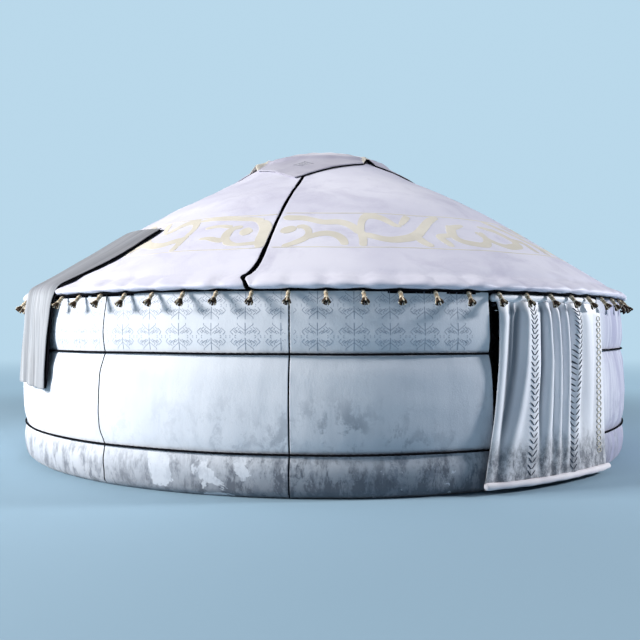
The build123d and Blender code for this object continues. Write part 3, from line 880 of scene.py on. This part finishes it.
def tassel_parts(seed):
    """One tassel hanging along -Z from the origin; list of (V, F, material)."""
    g = np.random.default_rng(seed)
    parts = []

    def rings(prof, sides, mod=None):
        prof = np.array(prof, float) / 1000
        th = np.linspace(0, 2 * math.pi, sides, endpoint=False)
        r = np.broadcast_to(prof[:, :1], (len(prof), sides)).copy()
        if mod is not None:
            r = mod(r, th, prof[:, 1])
        return np.stack([r * np.cos(th), r * np.sin(th), np.broadcast_to(prof[:, 1:2], r.shape)], -1)
    # twisted rope neck
    zz = np.linspace(5, -74, 20)
    nb = np.interp(zz, [-74, -62, -40, -10, 0, 5], [12.5, 14.6, 14.0, 14.0, 12.0, 4.5])
    tw = g.uniform(0, 6)
    G = rings(np.stack([nb, zz], 1), 12, lambda r, th, z: r * (0.86 + 0.14 * np.abs(np.cos(1.5 * th[None] - z[:, None] * 150 + tw))))
    parts.append((*tube_arrays(G), 0))
    # two wound bands
    for zc, rb in ((-20, 15.8), (-60, 15.8)):
        zz = np.linspace(zc + 6, zc - 6, 6)
        G = rings(np.stack([rb * np.array([0.86, 1.0, 1.03, 1.03, 1.0, 0.86]), zz], 1), 12)
        parts.append((*tube_arrays(G), 1))
    # yarn skirt: thick strands side by side round a hollow, uneven ends
    n = 14
    for j in range(n):
        a = 2 * math.pi * j / n + g.uniform(-0.1, 0.1)
        L = g.uniform(36, 43)
        spread = g.uniform(0.9, 1.08)
        t = np.linspace(0, 1, 5)
        rad = (11.0 + 15.5 * t ** 0.85 * spread) / 1000
        z = (-66 - L * t) / 1000
        wob = a + 0.15 * t * g.uniform(-1, 1)
        path = np.stack([rad * np.cos(wob), rad * np.sin(wob), z], 1)
        w = np.interp(t, [0, 0.5, 1], [2.7, 4.5, 5.2]) / 1000
        G = tube(path, w, sides=6, ref=(math.cos(a), math.sin(a), 0.01))
        parts.append((*tube_arrays(G), 2 if j % 5 else 1))
    # dark heart: a near-black core, painted shade inside the skirt's hollow
    G = rings([(9, -62), (12, -74), (15, -84), (14, -90), (6, -92)], 10)
    parts.append((*tube_arrays(G), 3))
    return parts


protos = [tassel_parts(s) for s in range(6)]
groups = {k: Batch() for k in ("front", "right", "back", "left")}
for i in range(N_T):
    az = (i * 360 / N_T + PH + 180) % 360 - 180
    if abs(az + 86.8) < 6.0:
        continue
    key = "front" if abs(az) <= 45 else "right" if 45 < az <= 135 else "left" if -135 <= az < -45 else "back"
    g = np.random.default_rng(500 + i)
    tilt = math.radians(TILT + g.uniform(-3.5, 3.5))
    side = math.radians(g.uniform(-5, 5))
    for V, F, m in protos[g.integers(0, 6)]:
        W = V.copy()
        spin = g.uniform(0, 0.001)
        # tilt outwards (towards local +X), lean sideways a little, then turn to the azimuth
        x = W[:, 0] * math.cos(tilt) - W[:, 2] * math.sin(tilt)
        z = W[:, 0] * math.sin(tilt) + W[:, 2] * math.cos(tilt)
        y = W[:, 1] + side * (z * 0.6)
        r0 = 3.008 + 0.012 * math.sin(math.radians(TILT))
        z0 = 1.402 - 0.012 * math.cos(math.radians(TILT))
        X = x + r0
        a = math.radians(az)
        # local +X -> outward (sin a, -cos a); local +Y -> tangent (cos a, sin a)
        out = np.stack([X * math.sin(a) + y * math.cos(a), -X * math.cos(a) + y * math.sin(a), z + z0], 1)
        groups[key].add(out, F, m)
for key, b in groups.items():
    ob = b.done("tassel_row_" + key, [M_ROPE, M_GOLD, M_SKIRT, M_HOLLOW_SHADE])
    finish_piece(ob, "tassel_yarn", "tassels_" + key)

# ------------------------------------------------------------------ crown cover
E = 0.880
cov_r = [0, 0.15, 0.30, 0.43, 0.56, 0.64, 0.719, 0.80, 0.959, 1.13, 1.29]
cov_z = [3.0235, 3.0185, 3.003, 2.980, 2.942, 2.906, 2.862, 2.811, 2.713, 2.613, 2.523]
cz_f = spline1(cov_r, cov_z)
cov_w = waves(31, 9, 0.12, 0.36)
cov_b = waves(32, 6, 0.35, 0.8)


CX, CY = -0.045, 0.030
RIDGE = ((0.0, 0.078), (90.0, 0.062), (180.0, 0.066), (-90.0, 0.072))


def cover_point(p, q, off=0.0):
    """p, q from -1 to 1 over the square cloth."""
    x = CX + E * p * (1 - 0.020 * (1 - q ** 2) * np.abs(p) ** 3)
    y = CY + E * q * (1 - 0.020 * (1 - p ** 2) * np.abs(q) ** 3)
    # where a fold stands up, the edge is drawn in
    x = x - np.sign(p) * 0.050 * np.exp(-np.abs(y) / 0.09) * np.abs(p) ** 8
    y = y - np.sign(q) * (0.085 - 0.03 * (q > 0)) * np.exp(-np.abs(x) / 0.09) * np.abs(q) ** 8
    r = np.hypot(x, y)
    z = cz_f(r)
    a = np.degrees(np.arctan2(x, -y))
    # raised ridge folds from the ring out to the middle of each side
    for c, h in RIDGE:
        da = (a - c + 180) % 360 - 180
        dt = np.radians(da) * r
        w = 0.018 + 0.070 * sstep(0.60, 0.86, r)
        z = z + h * sstep(0.64, 0.84, r) ** 1.2 * np.clip(1 - np.abs(dt - 0.01) / w, 0, 1) ** 0.9 * (np.abs(da) < 60)
        z = z + 0.010 * gauss(dt, 0.16, 0.03) * sstep(0.70, 0.80, r) * (np.abs(da) < 60)
    # cloth pulled from the ring to the corners
    for c in (45, 135, -45, -135):
        da = (a - c + 180) % 360 - 180
        dt = np.radians(da) * r
        z = z + 0.006 * sstep(0.72, 1.0, r) * gauss(dt, 0.0, 0.07)
    # the ring shows through as a crease
    z = z + 0.020 * gauss(r, 0.705, 0.028) - 0.013 * gauss(r, 0.80, 0.060) - 0.006 * gauss(r, 0.60, 0.05)
    z = z + 0.0035 * cov_w(x, y) * sstep(0.2, 0.7, r) + 0.004 * cov_b(x, y) * sstep(0.75, 1.1, r)
    # radiating creases on the dome
    z = z + 0.0022 * np.sin(np.radians(a) * 17 + 3 * np.sin(r * 9)) * sstep(0.12, 0.45, r) * sstep(0.75, 0.6, r)
    # and it lies on the roof felts, never in them
    low = roof_z(np.clip(r, 0.72, 1.40)) + 0.011
    z = np.where(r > 0.72, z + 0.5 * (low - z + np.sqrt((low - z) ** 2 + 0.004 ** 2)) * sstep(0.72, 0.76, r), z)
    return np.stack([x, y, z + off], -1)


n = 117
p = np.linspace(-1, 1, n)
Pq, Qq = np.meshgrid(p, p)
top = cover_point(Pq, Qq)
ed = 1 - np.maximum(np.abs(Pq), np.abs(Qq))
th = 0.0085 * np.sqrt(np.clip(1 - (1 - np.clip(ed * E / 0.006, 0, 1)) ** 2, 0.03, 1))
nr = normals(top)
if nr[n // 2, n // 2, 2] < 0:
    nr = -nr
V, F = shell_arrays(top + nr * (th / 2)[..., None], top - nr * (th / 2)[..., None])
# the turned hems at the folds show the paler, yellowish wrong side
ctr = V[F].mean(1)
ra, rr_ = np.degrees(np.arctan2(ctr[:, 0], -ctr[:, 1])), np.hypot(ctr[:, 0], ctr[:, 1])
hem = np.zeros(len(F), bool)
for c, h in RIDGE:
    dt = np.radians((ra - c + 180) % 360 - 180) * rr_
    hem |= (np.abs(dt) < 0.030 + 0.35 * np.clip(rr_ - 0.70, 0, 0.2)) & (rr_ > 0.70)
ob = new_mesh("crown_cloth", V, F, [M_COVER, M_HEMB], hem.astype(int))
finish_piece(ob, "cover_cloth", "crown_cover")

# black tube tucked under the cover's edge on all sides but the left one: painted shadow under the edge
t = np.linspace(-1, 1, 121)
ring = np.concatenate([cover_point(t[2:], -np.ones(119)), cover_point(np.ones(119), t[1:-1]),
                       cover_point(-t[:-2], np.ones(119))])
ring = ring + np.array([0, 0, -0.012])
out2 = ring[:, :2] / np.linalg.norm(ring[:, :2], axis=1, keepdims=True)
ring[:, :2] += out2 * 0.006
wid = 0.0085 * np.sqrt(np.clip(np.minimum(np.arange(len(ring)), np.arange(len(ring))[::-1]) / 12, 0.05, 1))
G = tube(ring, wid, sides=8)
V, F = tube_arrays(G)
ob_edge_shadow = new_mesh("crown_cloth_binding", V, F, M_DARK)
finish_piece(ob_edge_shadow, "cover_cloth")

# small grey lozenge sewn on the cover's front corner side
batch = Batch()


def cover_strip(P, w, h=0.003):
    P = np.asarray(P, float)
    t = np.gradient(P, axis=0)
    t /= np.linalg.norm(t, axis=1, keepdims=True)
    nn = np.stack([-t[:, 1], t[:, 0]], 1)
    k = np.array([-1, -0.8, 0.8, 1]) * w / 2
    G = P[:, None] + nn[:, None] * k[None, :, None]
    hh = 0.0045 + np.array([-0.003, 1, 1, -0.003])[None] * h + 0 * G[..., 0]
    batch.shell(cover_point(G[..., 0], G[..., 1], hh), cover_point(G[..., 0], G[..., 1], -0.001 + 0 * G[..., 0]))


cen = (np.array([-0.660, -0.598]) - np.array([CX, CY])) / E
ex, ey = np.array([0.080, -0.071]), np.array([0.052, 0.052])
for size, w_ in ((1.0, 0.024), (0.42, 0.022)):
    for a_, b_ in ((ex, ey), (ey, -ex), (-ex, -ey), (-ey, ex)):
        L = np.array([cen + size * (a_ + (b_ - a_) * v) for v in np.linspace(-0.04, 1.04, 7)])
        cover_strip(L, w_, 0.0016)
finish_piece(batch.done("crown_cloth_lozenge", [M_GREY]), "cover_cloth")

# ------------------------------------------------------------------ side flap
# profile down the strip (distance from the axis, height)
fl = np.array([(2.180, 2.001), (2.306, 1.916), (2.615, 1.716), (2.866, 1.566), (2.955, 1.514), (2.994, 1.485),
               (3.012, 1.450), (3.020, 1.405), (3.028, 1.350), (3.038, 1.200), (3.047, 0.950), (3.054, 0.676)])
fs = np.concatenate([[0], np.cumsum(np.linalg.norm(np.diff(fl, axis=0), axis=1))])
fl_r, fl_z = spline1(fs, fl[:, 0]), spline1(fs, fl[:, 1])
S_EAVE = fs[6]
flap_w = waves(71, 8, 0.25, 0.7)


def flap_point(s, y, off=0.0):
    """y from -FLAP_Y (towards the door side) to +FLAP_Y, across the strip."""
    r = fl_r(s)
    z = fl_z(s)
    hang = sstep(S_EAVE, S_EAVE + 0.75, s)
    over = sstep(S_EAVE - 0.1, S_EAVE + 0.12, s)
    arch = np.clip(1 - (y / FLAP_Y) ** 2, 0, 1) ** 0.7 * (1 + 0.35 * y / FLAP_Y)
    lift = 0.003 + 0.019 * arch * sstep(S_EAVE - 0.02, S_EAVE - 0.55, s) * (0.75 + 0.25 * np.sin(s * 3.1 + 1.1))
    fold = 0.015 * np.sin(y * 19 + 0.9 + 0.7 * np.sin(s * 1.4)) + 0.005 * np.sin(y * 44 + 1.7 + 0.6 * s)
    fold = fold * (0.35 * over + 0.65 * hang) * over + 0.0009 * np.sin(y * 110) * (1 - over) + 0.002 * flap_w(y, s)
    near = np.exp(-(y + FLAP_Y) / 0.05)
    e = 0.004
    dr, dz = fl_r(s + e) - fl_r(s - e), fl_z(s + e) - fl_z(s - e)
    L = np.hypot(dr, dz)
    nr, nz = -dz / L, dr / L
    h = off + lift * (1 - over) + fold + 0.004 + 0.006 * near * over
    r = r + nr * h
    z = z + nz * h + 0.012 * hang * np.sin(y * 5)
    ya = FLAP_Y0 + y + 0.055 * hang - (0.090 * gauss(s, S_EAVE * 0.52, 0.40) - 0.055 * over) * (FLAP_Y - y) / (2 * FLAP_Y)
    x = -np.sqrt(np.maximum(r ** 2 - ya ** 2, 0))
    return np.stack(np.broadcast_arrays(x, ya, z), -1)


s = np.linspace(0, fs[-1], 165)
y = np.linspace(-FLAP_Y, FLAP_Y, 74)
Sg, Yg = np.meshgrid(s, y, indexing="ij")
ed = np.minimum(np.minimum(Sg, fs[-1] - Sg), FLAP_Y - np.abs(Yg))
th = 0.0075 * np.sqrt(np.clip(1 - (1 - np.clip(ed / 0.006, 0, 1)) ** 2, 0.04, 1)) + 0.0015 * np.exp(-ed / 0.012)
ob = shell("side_cloth", flap_point(Sg, Yg, 0.004 + th / 2), flap_point(Sg, Yg, 0.004 - th / 2), M_FLAP)
finish_piece(ob, "flap_cloth", "side_flap")
# a black sheet under it, showing along the door-side edge: painted shade in the gap between the strip and the wall
s2 = np.linspace(0.004, fs[-1] - 0.004, 150)
Sg, Vg = np.meshgrid(s2, np.linspace(0, 1, 30), indexing="ij")
ext = 0.013 + 0.018 * sstep(S_EAVE - 0.25, S_EAVE, Sg) - 0.012 * gauss(Sg, S_EAVE + 0.30, 0.14) - 0.03 * sstep(fs[-1] - 0.12, fs[-1], Sg)
Yg = -FLAP_Y - ext + (2 * FLAP_Y - 0.02 + ext) * Vg
drop = -0.007 - 0.004 * sstep(S_EAVE, S_EAVE + 0.4, Sg)
A, B = flap_point(Sg, Yg, drop), flap_point(Sg, Yg, drop - 0.004)
ob = shell("side_cloth_backing", A, B, M_GAP_SHADE)
finish_piece(ob, "flap_cloth")

# ------------------------------------------------------------------ door curtain
Z_TOP, Z_BOT = 1.338, 0.075
cur_w = waves(81, 8, 0.3, 0.7)
VK = [0.08, 0.35, 0.60, 0.85]
# fold line: its place across the cloth at four heights, half width and depth at the top and the bottom
FOLDS = [((0.040, 0.025, 0.025, 0.030), (0.030, 0.028), (0.9, 0.7)),
         ((0.124, 0.108, 0.086, 0.064), (0.052, 0.034), (-1.55, -0.9)),
         ((0.118, 0.108, 0.088, 0.066), (0.011, 0.012), (0.75, -0.3)),
         ((0.200, 0.192, 0.170, 0.128), (0.022, 0.030), (1.00, 0.8)),
         ((0.262, 0.262, 0.266, 0.262), (0.036, 0.050), (0.62, 0.55)),
         ((0.340, 0.347, 0.336, 0.342), (0.019, 0.024), (-1.35, -0.8)),
         ((0.380, 0.405, 0.400, 0.390), (0.020, 0.026), (0.9, 0.8)),
         ((0.425, 0.440, 0.445, 0.445), (0.016, 0.020), (-1.05, -0.7)),
         ((0.460, 0.480, 0.490, 0.490), (0.018, 0.022), (0.9, 0.7)),
         ((0.502, 0.520, 0.517, 0.520), (0.017, 0.020), (-1.10, -0.7)),
         ((0.545, 0.565, 0.556, 0.560), (0.018, 0.022), (0.9, 0.8)),
         ((0.595, 0.604, 0.590, 0.584), (0.018, 0.020), (-1.10, -0.6)),
         ((0.636, 0.640, 0.618, 0.600), (0.026, 0.030), (0.90, 0.7)),
         ((0.676, 0.678, 0.656, 0.636), (0.028, 0.032), (0.90, 0.7)),
         ((0.742, 0.738, 0.726, 0.735), (0.030, 0.070), (-0.70, -0.95)),
         ((0.800, 0.800, 0.770, 0.750), (0.060, 0.060), (0.5, 0.6)),
         ((0.885, 0.885, 0.870, 0.850), (0.035, 0.050), (-0.35, -0.5))]


def curtain_fold(t, v):
    f = 0 * t * v
    for tk, (w0, w1), (a0, a1) in FOLDS:
        c = np.interp(v, VK, tk)
        f = f + (a0 + (a1 - a0) * sstep(0.2, 0.8, v)) * gauss(t, c, (1.28 if a0 > 0 else 1.02) * (w0 + (w1 - w0) * v))
    return f


def curtain_point(t, z, off=0.0):
    """t from 0 (left edge) to 1."""
    v = np.clip((Z_TOP - z) / (Z_TOP - Z_BOT), 0, 1)
    lo = -11.0 - 3.0 * v ** 1.8
    hi = 12.4 - 0.5 * v
    az = lo + (hi - lo) * t
    r = 2.992 + 0.024 * np.minimum(1, v / 0.06) + 0.050 * v ** 0.9
    depth = (0.45 + 0.55 * sstep(0.0, 0.12, v)) * (1 - 0.60 * sstep(0.62, 1.0, v))
    f = curtain_fold(t, v)
    r = r + 0.029 * f * depth + 0.0025 * cur_w(t * 1.2, z) * sstep(0.05, 0.3, v)
    # hangs in a touch at the edges
    r = r - 0.004 * (np.exp(-t / 0.02) + np.exp(-(1 - t) / 0.02))
    return pol(az, r + off, z)


zr = np.concatenate([[Z_TOP, 1.334, 1.327, 1.316], np.linspace(1.302, Z_BOT, 96)])
t = np.linspace(0, 1, 180)
Zg, Tg = np.meshgrid(zr, t, indexing="ij")
ed = np.minimum(np.minimum(Tg, 1 - Tg) * 1.25, np.minimum(Z_TOP - Zg + 0.001, Zg - Z_BOT + 0.001))
th = 0.0062 * np.sqrt(np.clip(1 - (1 - np.clip(ed / 0.005, 0, 1)) ** 2, 0.05, 1))
C = curtain_point(Tg, Zg)
nr = normals(C)
if (nr * C).sum() < 0:
    nr = -nr
ob = shell("curtain_cloth", C + nr * (th / 2)[..., None], C - nr * (th / 2)[..., None], M_CURT)
vg = (Z_TOP - Zg) / (Z_TOP - Z_BOT)
# how deep each point lies in a fold, read by the material to paint shade there
fold_shade = sstep(-0.05, -1.05, curtain_fold(Tg, vg)) * (1 - 0.75 * sstep(0.62, 0.92, vg)) * sstep(0.0, 0.05, vg)
if len(ob.data.vertices) == 2 * fold_shade.size:
    at = ob.data.attributes.new("fold_depth", "FLOAT", "POINT")
    at.data.foreach_set("value", np.concatenate([fold_shade.ravel(), fold_shade.ravel()]))
else:
    print("curtain: vertex count", len(ob.data.vertices), fold_shade.size)
finish_piece(ob, "curtain_cloth", "door_curtain")


def curtain_frame(t, z):
    """Point, outward normal, across and up directions on the curtain."""
    c = curtain_point(t, z)
    e = 0.002
    ac = curtain_point(np.asarray(t) + e, z) - curtain_point(np.asarray(t) - e, z)
    up = curtain_point(t, np.asarray(z) + e) - curtain_point(t, np.asarray(z) - e)
    ac = ac / np.linalg.norm(ac, axis=-1, keepdims=True)
    up = up / np.linalg.norm(up, axis=-1, keepdims=True)
    n = np.cross(ac, up)
    n = n * np.sign((n * c).sum(-1, keepdims=True))
    return c, n, ac, up


def leaf(batch, c, n, d, side, L, w, h, m=0):
    """A small raised lens lying on a surface, along d."""
    t = np.linspace(0, 1, 6)
    wid = np.sin(np.pi * np.clip(t, 0.02, 0.98)) ** 0.7 * w / 2
    k = np.array([-1, -0.5, 0.5, 1])
    G = c + d * (t * L)[:, None, None] + side * (wid[:, None] * k[None])[..., None] + n * (np.array([0, 1, 1, 0])[None, :, None] * h)
    batch.shell(G, G - n * 0.0035, m)


trim = Batch()
jit = np.random.default_rng(91).uniform(-1, 1, (64, 3))
for vk, tk in (((0.04, 0.31, 0.55, 0.78, 0.95), (0.250, 0.252, 0.266, 0.276, 0.284)),
               ((0.03, 0.20, 0.38, 0.57, 0.95), (0.650, 0.655, 0.635, 0.612, 0.610))):
    zz = 1.268 - 1.16 * np.linspace(0, 1, 30) ** 1.12
    for j, z in enumerate(zz):
        v = (Z_TOP - z) / (Z_TOP - Z_BOT)
        tc = np.interp(v, vk, tk)
        j1, j2, j3 = jit[j % len(jit)]
        for s_ in (-1, 1):
            # a stitch lying on the cloth, out and up from the middle
            u_ = np.linspace(0, 1, 7)[:, None]
            wid = np.sin(np.pi * np.clip(u_, 0.04, 0.96)) ** 0.6 * 0.0066 * (1 + 0.18 * j1)
            k = np.array([-1, -0.5, 0.5, 1])[None]
            tt = tc + 0.0012 * j2 + s_ * (0.0030 + (0.0255 + 0.003 * j1) * u_) + 0 * k
            zz_ = z + (0.034 + 0.005 * j3 * s_) * u_ + wid * k
            c_, n_ = curtain_frame(tt, zz_)[:2]
            top = c_ + n_ * (0.0042 + 0.0026 * (np.abs(k) < 0.9) + 0 * u_)[..., None]
            bot = c_ + n_ * 0.001
            trim.shell(top, bot, 0)
# ring chain down the right edge
zz = np.arange(1.225, 0.18, -0.0445)
for z in zz:
    c, n_, ac, up = curtain_frame(np.interp((Z_TOP - z) / (Z_TOP - Z_BOT), [0.08, 0.4, 0.71, 0.94], [0.952, 0.935, 0.915, 0.905]), z)
    th_ = np.linspace(0, 2 * math.pi, 12, endpoint=False)
    ph_ = np.linspace(0, 2 * math.pi, 6, endpoint=False)
    R0, r0 = 0.0185, 0.0034
    G = (c + n_ * 0.0045)[None, None] + ((R0 + r0 * np.cos(ph_))[None, :, None] * (1.55 * np.cos(th_)[:, None, None] * ac + np.sin(th_)[:, None, None] * up)
                                        + (r0 * np.sin(ph_))[None, :, None] * n_)
    V, F = tube_arrays(G, closed=True)
    trim.add(V, F, 2)
ob_t = trim.done("curtain_trim", [M_BRAID, M_CURT, M_RINGS])
finish_piece(ob_t, "curtain_cloth")

# rolls: the cloth wound over the door bar, and the weighted hem
for name, node, R0, z0, a0, a1, rad, mat, seed in (
        ("curtain_roll_upper", "curtain_top_roll", 2.976, 1.362, -11.75, 11.75, 0.0285, M_CURT, 1),
        ("curtain_roll_hem", "curtain_hem_roll", 3.072, 0.060, -14.1, 12.7, 0.0240, M_ROLL, 2)):
    a = np.linspace(a0, a1, 120)
    g = np.random.default_rng(seed)
    u = (a - a0) / (a1 - a0)
    w1 = 0.0012 * np.sin(u * 23 + 1) + 0.0009 * np.sin(u * 51)
    end = np.sqrt(np.clip(1 - (1 - np.clip(np.minimum(u, 1 - u) / 0.014, 0, 1)) ** 2, 0.06, 1))
    path = pol(a, R0 + 0.001 * np.sin(u * 17), z0 + (0.0015 * np.sin(u * 9 + 2) if seed == 2 else 0.0))
    G = tube(path, (rad + w1) * end, sides=22)
    V, F = tube_arrays(G)
    ob = new_mesh(name, V, F, mat)
    finish_piece(ob, "curtain_cloth", node)

# ------------------------------------------------------------------ wooden frame (CAD shapes kept)
for name, o in NODES.items():
    if name.startswith(("lattice", "roof_poles", "crown_ring", "crown_bars", "door_post", "door_lintel", "door_sill")):
        o.data.materials.clear()
        # door posts, lintel and sill take the near-black painted shade material
        o.data.materials.append(M_DOOR_SHADE if name.startswith("door_") else M_WOOD)

# ------------------------------------------------------------------ floor, light, camera
fm = Mat("studio_floor", rough=0.85, spec=0.2)
fm.color(fm.mix(fm.noise(0.6, 3, 0.5), (0.250, 0.370, 0.465), (0.265, 0.385, 0.48)))
# far from the object the floor takes the backdrop's tone, so no line shows between them
em = fm.n.new("ShaderNodeEmission")
ln = fm.n.new("ShaderNodeVectorMath")
ln.operation = "LENGTH"
fm.link(fm.co, ln.inputs[0])
fm.link(fm.mix(fm.ramp(ln.outputs["Value"], 9.0, 26.0), (0.345, 0.515, 0.650), (0.49, 0.69, 0.83)), em.inputs["Color"])
msh = fm.n.new("ShaderNodeMixShader")
fm.link(fm.ramp(ln.outputs["Value"], 3.6, 9.0), msh.inputs[0])
fm.link(fm.b.outputs[0], msh.inputs[1])
fm.link(em.outputs[0], msh.inputs[2])
fm.link(msh.outputs[0], fm.n["Material Output"].inputs["Surface"])
V = np.array([(-60, -60, -0.001), (60, -60, -0.001), (60, 60, -0.001), (-60, 60, -0.001)], float)
floor = new_mesh("floor_plane", V, np.array([[0, 1, 2, 3]]), fm.m, smooth=False)

sc = bpy.context.scene
w = bpy.data.worlds.new("studio")
sc.world = w
w.use_nodes = True
bg = w.node_tree.nodes["Background"]
bg.inputs["Color"].default_value = (0.60, 0.70, 0.84, 1)
bg.inputs["Strength"].default_value = 0.16
# the backdrop that is seen is paler than the fill light it gives
bg2 = w.node_tree.nodes.new("ShaderNodeBackground")
bg2.inputs["Color"].default_value = (0.49, 0.69, 0.83, 1)
bg2.inputs["Strength"].default_value = 1.0
lp = w.node_tree.nodes.new("ShaderNodeLightPath")
mx = w.node_tree.nodes.new("ShaderNodeMixShader")
wo = w.node_tree.nodes["World Output"]
w.node_tree.links.new(lp.outputs["Is Camera Ray"], mx.inputs[0])
w.node_tree.links.new(bg.outputs[0], mx.inputs[1])
w.node_tree.links.new(bg2.outputs[0], mx.inputs[2])
w.node_tree.links.new(mx.outputs[0], wo.inputs["Surface"])

CAM_AZ = -35.0


def cam_dir(az_cam, dist, z):
    """A place given by its azimuth as seen from the camera's side."""
    a = math.radians(az_cam + CAM_AZ)
    return (dist * math.sin(a), -dist * math.cos(a), z)


def area(name, loc, target, size, power, color=(1, 1, 1)):
    d = bpy.data.lights.new(name, "AREA")
    d.shape = "SQUARE"
    d.size = size
    d.energy = power
    d.color = color
    o = bpy.data.objects.new(name, d)
    sc.collection.objects.link(o)
    o.location = loc
    import mathutils
    v = mathutils.Vector(target) - mathutils.Vector(loc)
    o.rotation_euler = v.to_track_quat("-Z", "Y").to_euler()
    return o


area("key_left", cam_dir(-68, 14.0, 6.0), (0, 0, 1.0), 4.0, 3500, (1, 0.99, 0.97))
area("key_right", cam_dir(82, 14.0, 6.2), (0, 0, 1.0), 1.6, 2000, (0.98, 0.98, 1))
area("top_soft", cam_dir(-20, 3.0, 12), (0, 0, 1), 6.0, 120, (0.97, 0.95, 1))

cam = bpy.data.cameras.new("photo_camera")
cam.sensor_width = 36
cam.lens = 39.0165
cam.clip_end = 200
co = bpy.data.objects.new("photo_camera", cam)
sc.collection.objects.link(co)
a = math.radians(CAM_AZ)
co.location = (7.6222 * math.sin(a), -7.6222 * math.cos(a), 1.1193)
co.rotation_euler = (math.radians(90 + 0.988), 0, math.radians(CAM_AZ + 0.295))
sc.camera = co
sc.view_settings.view_transform = "Standard"
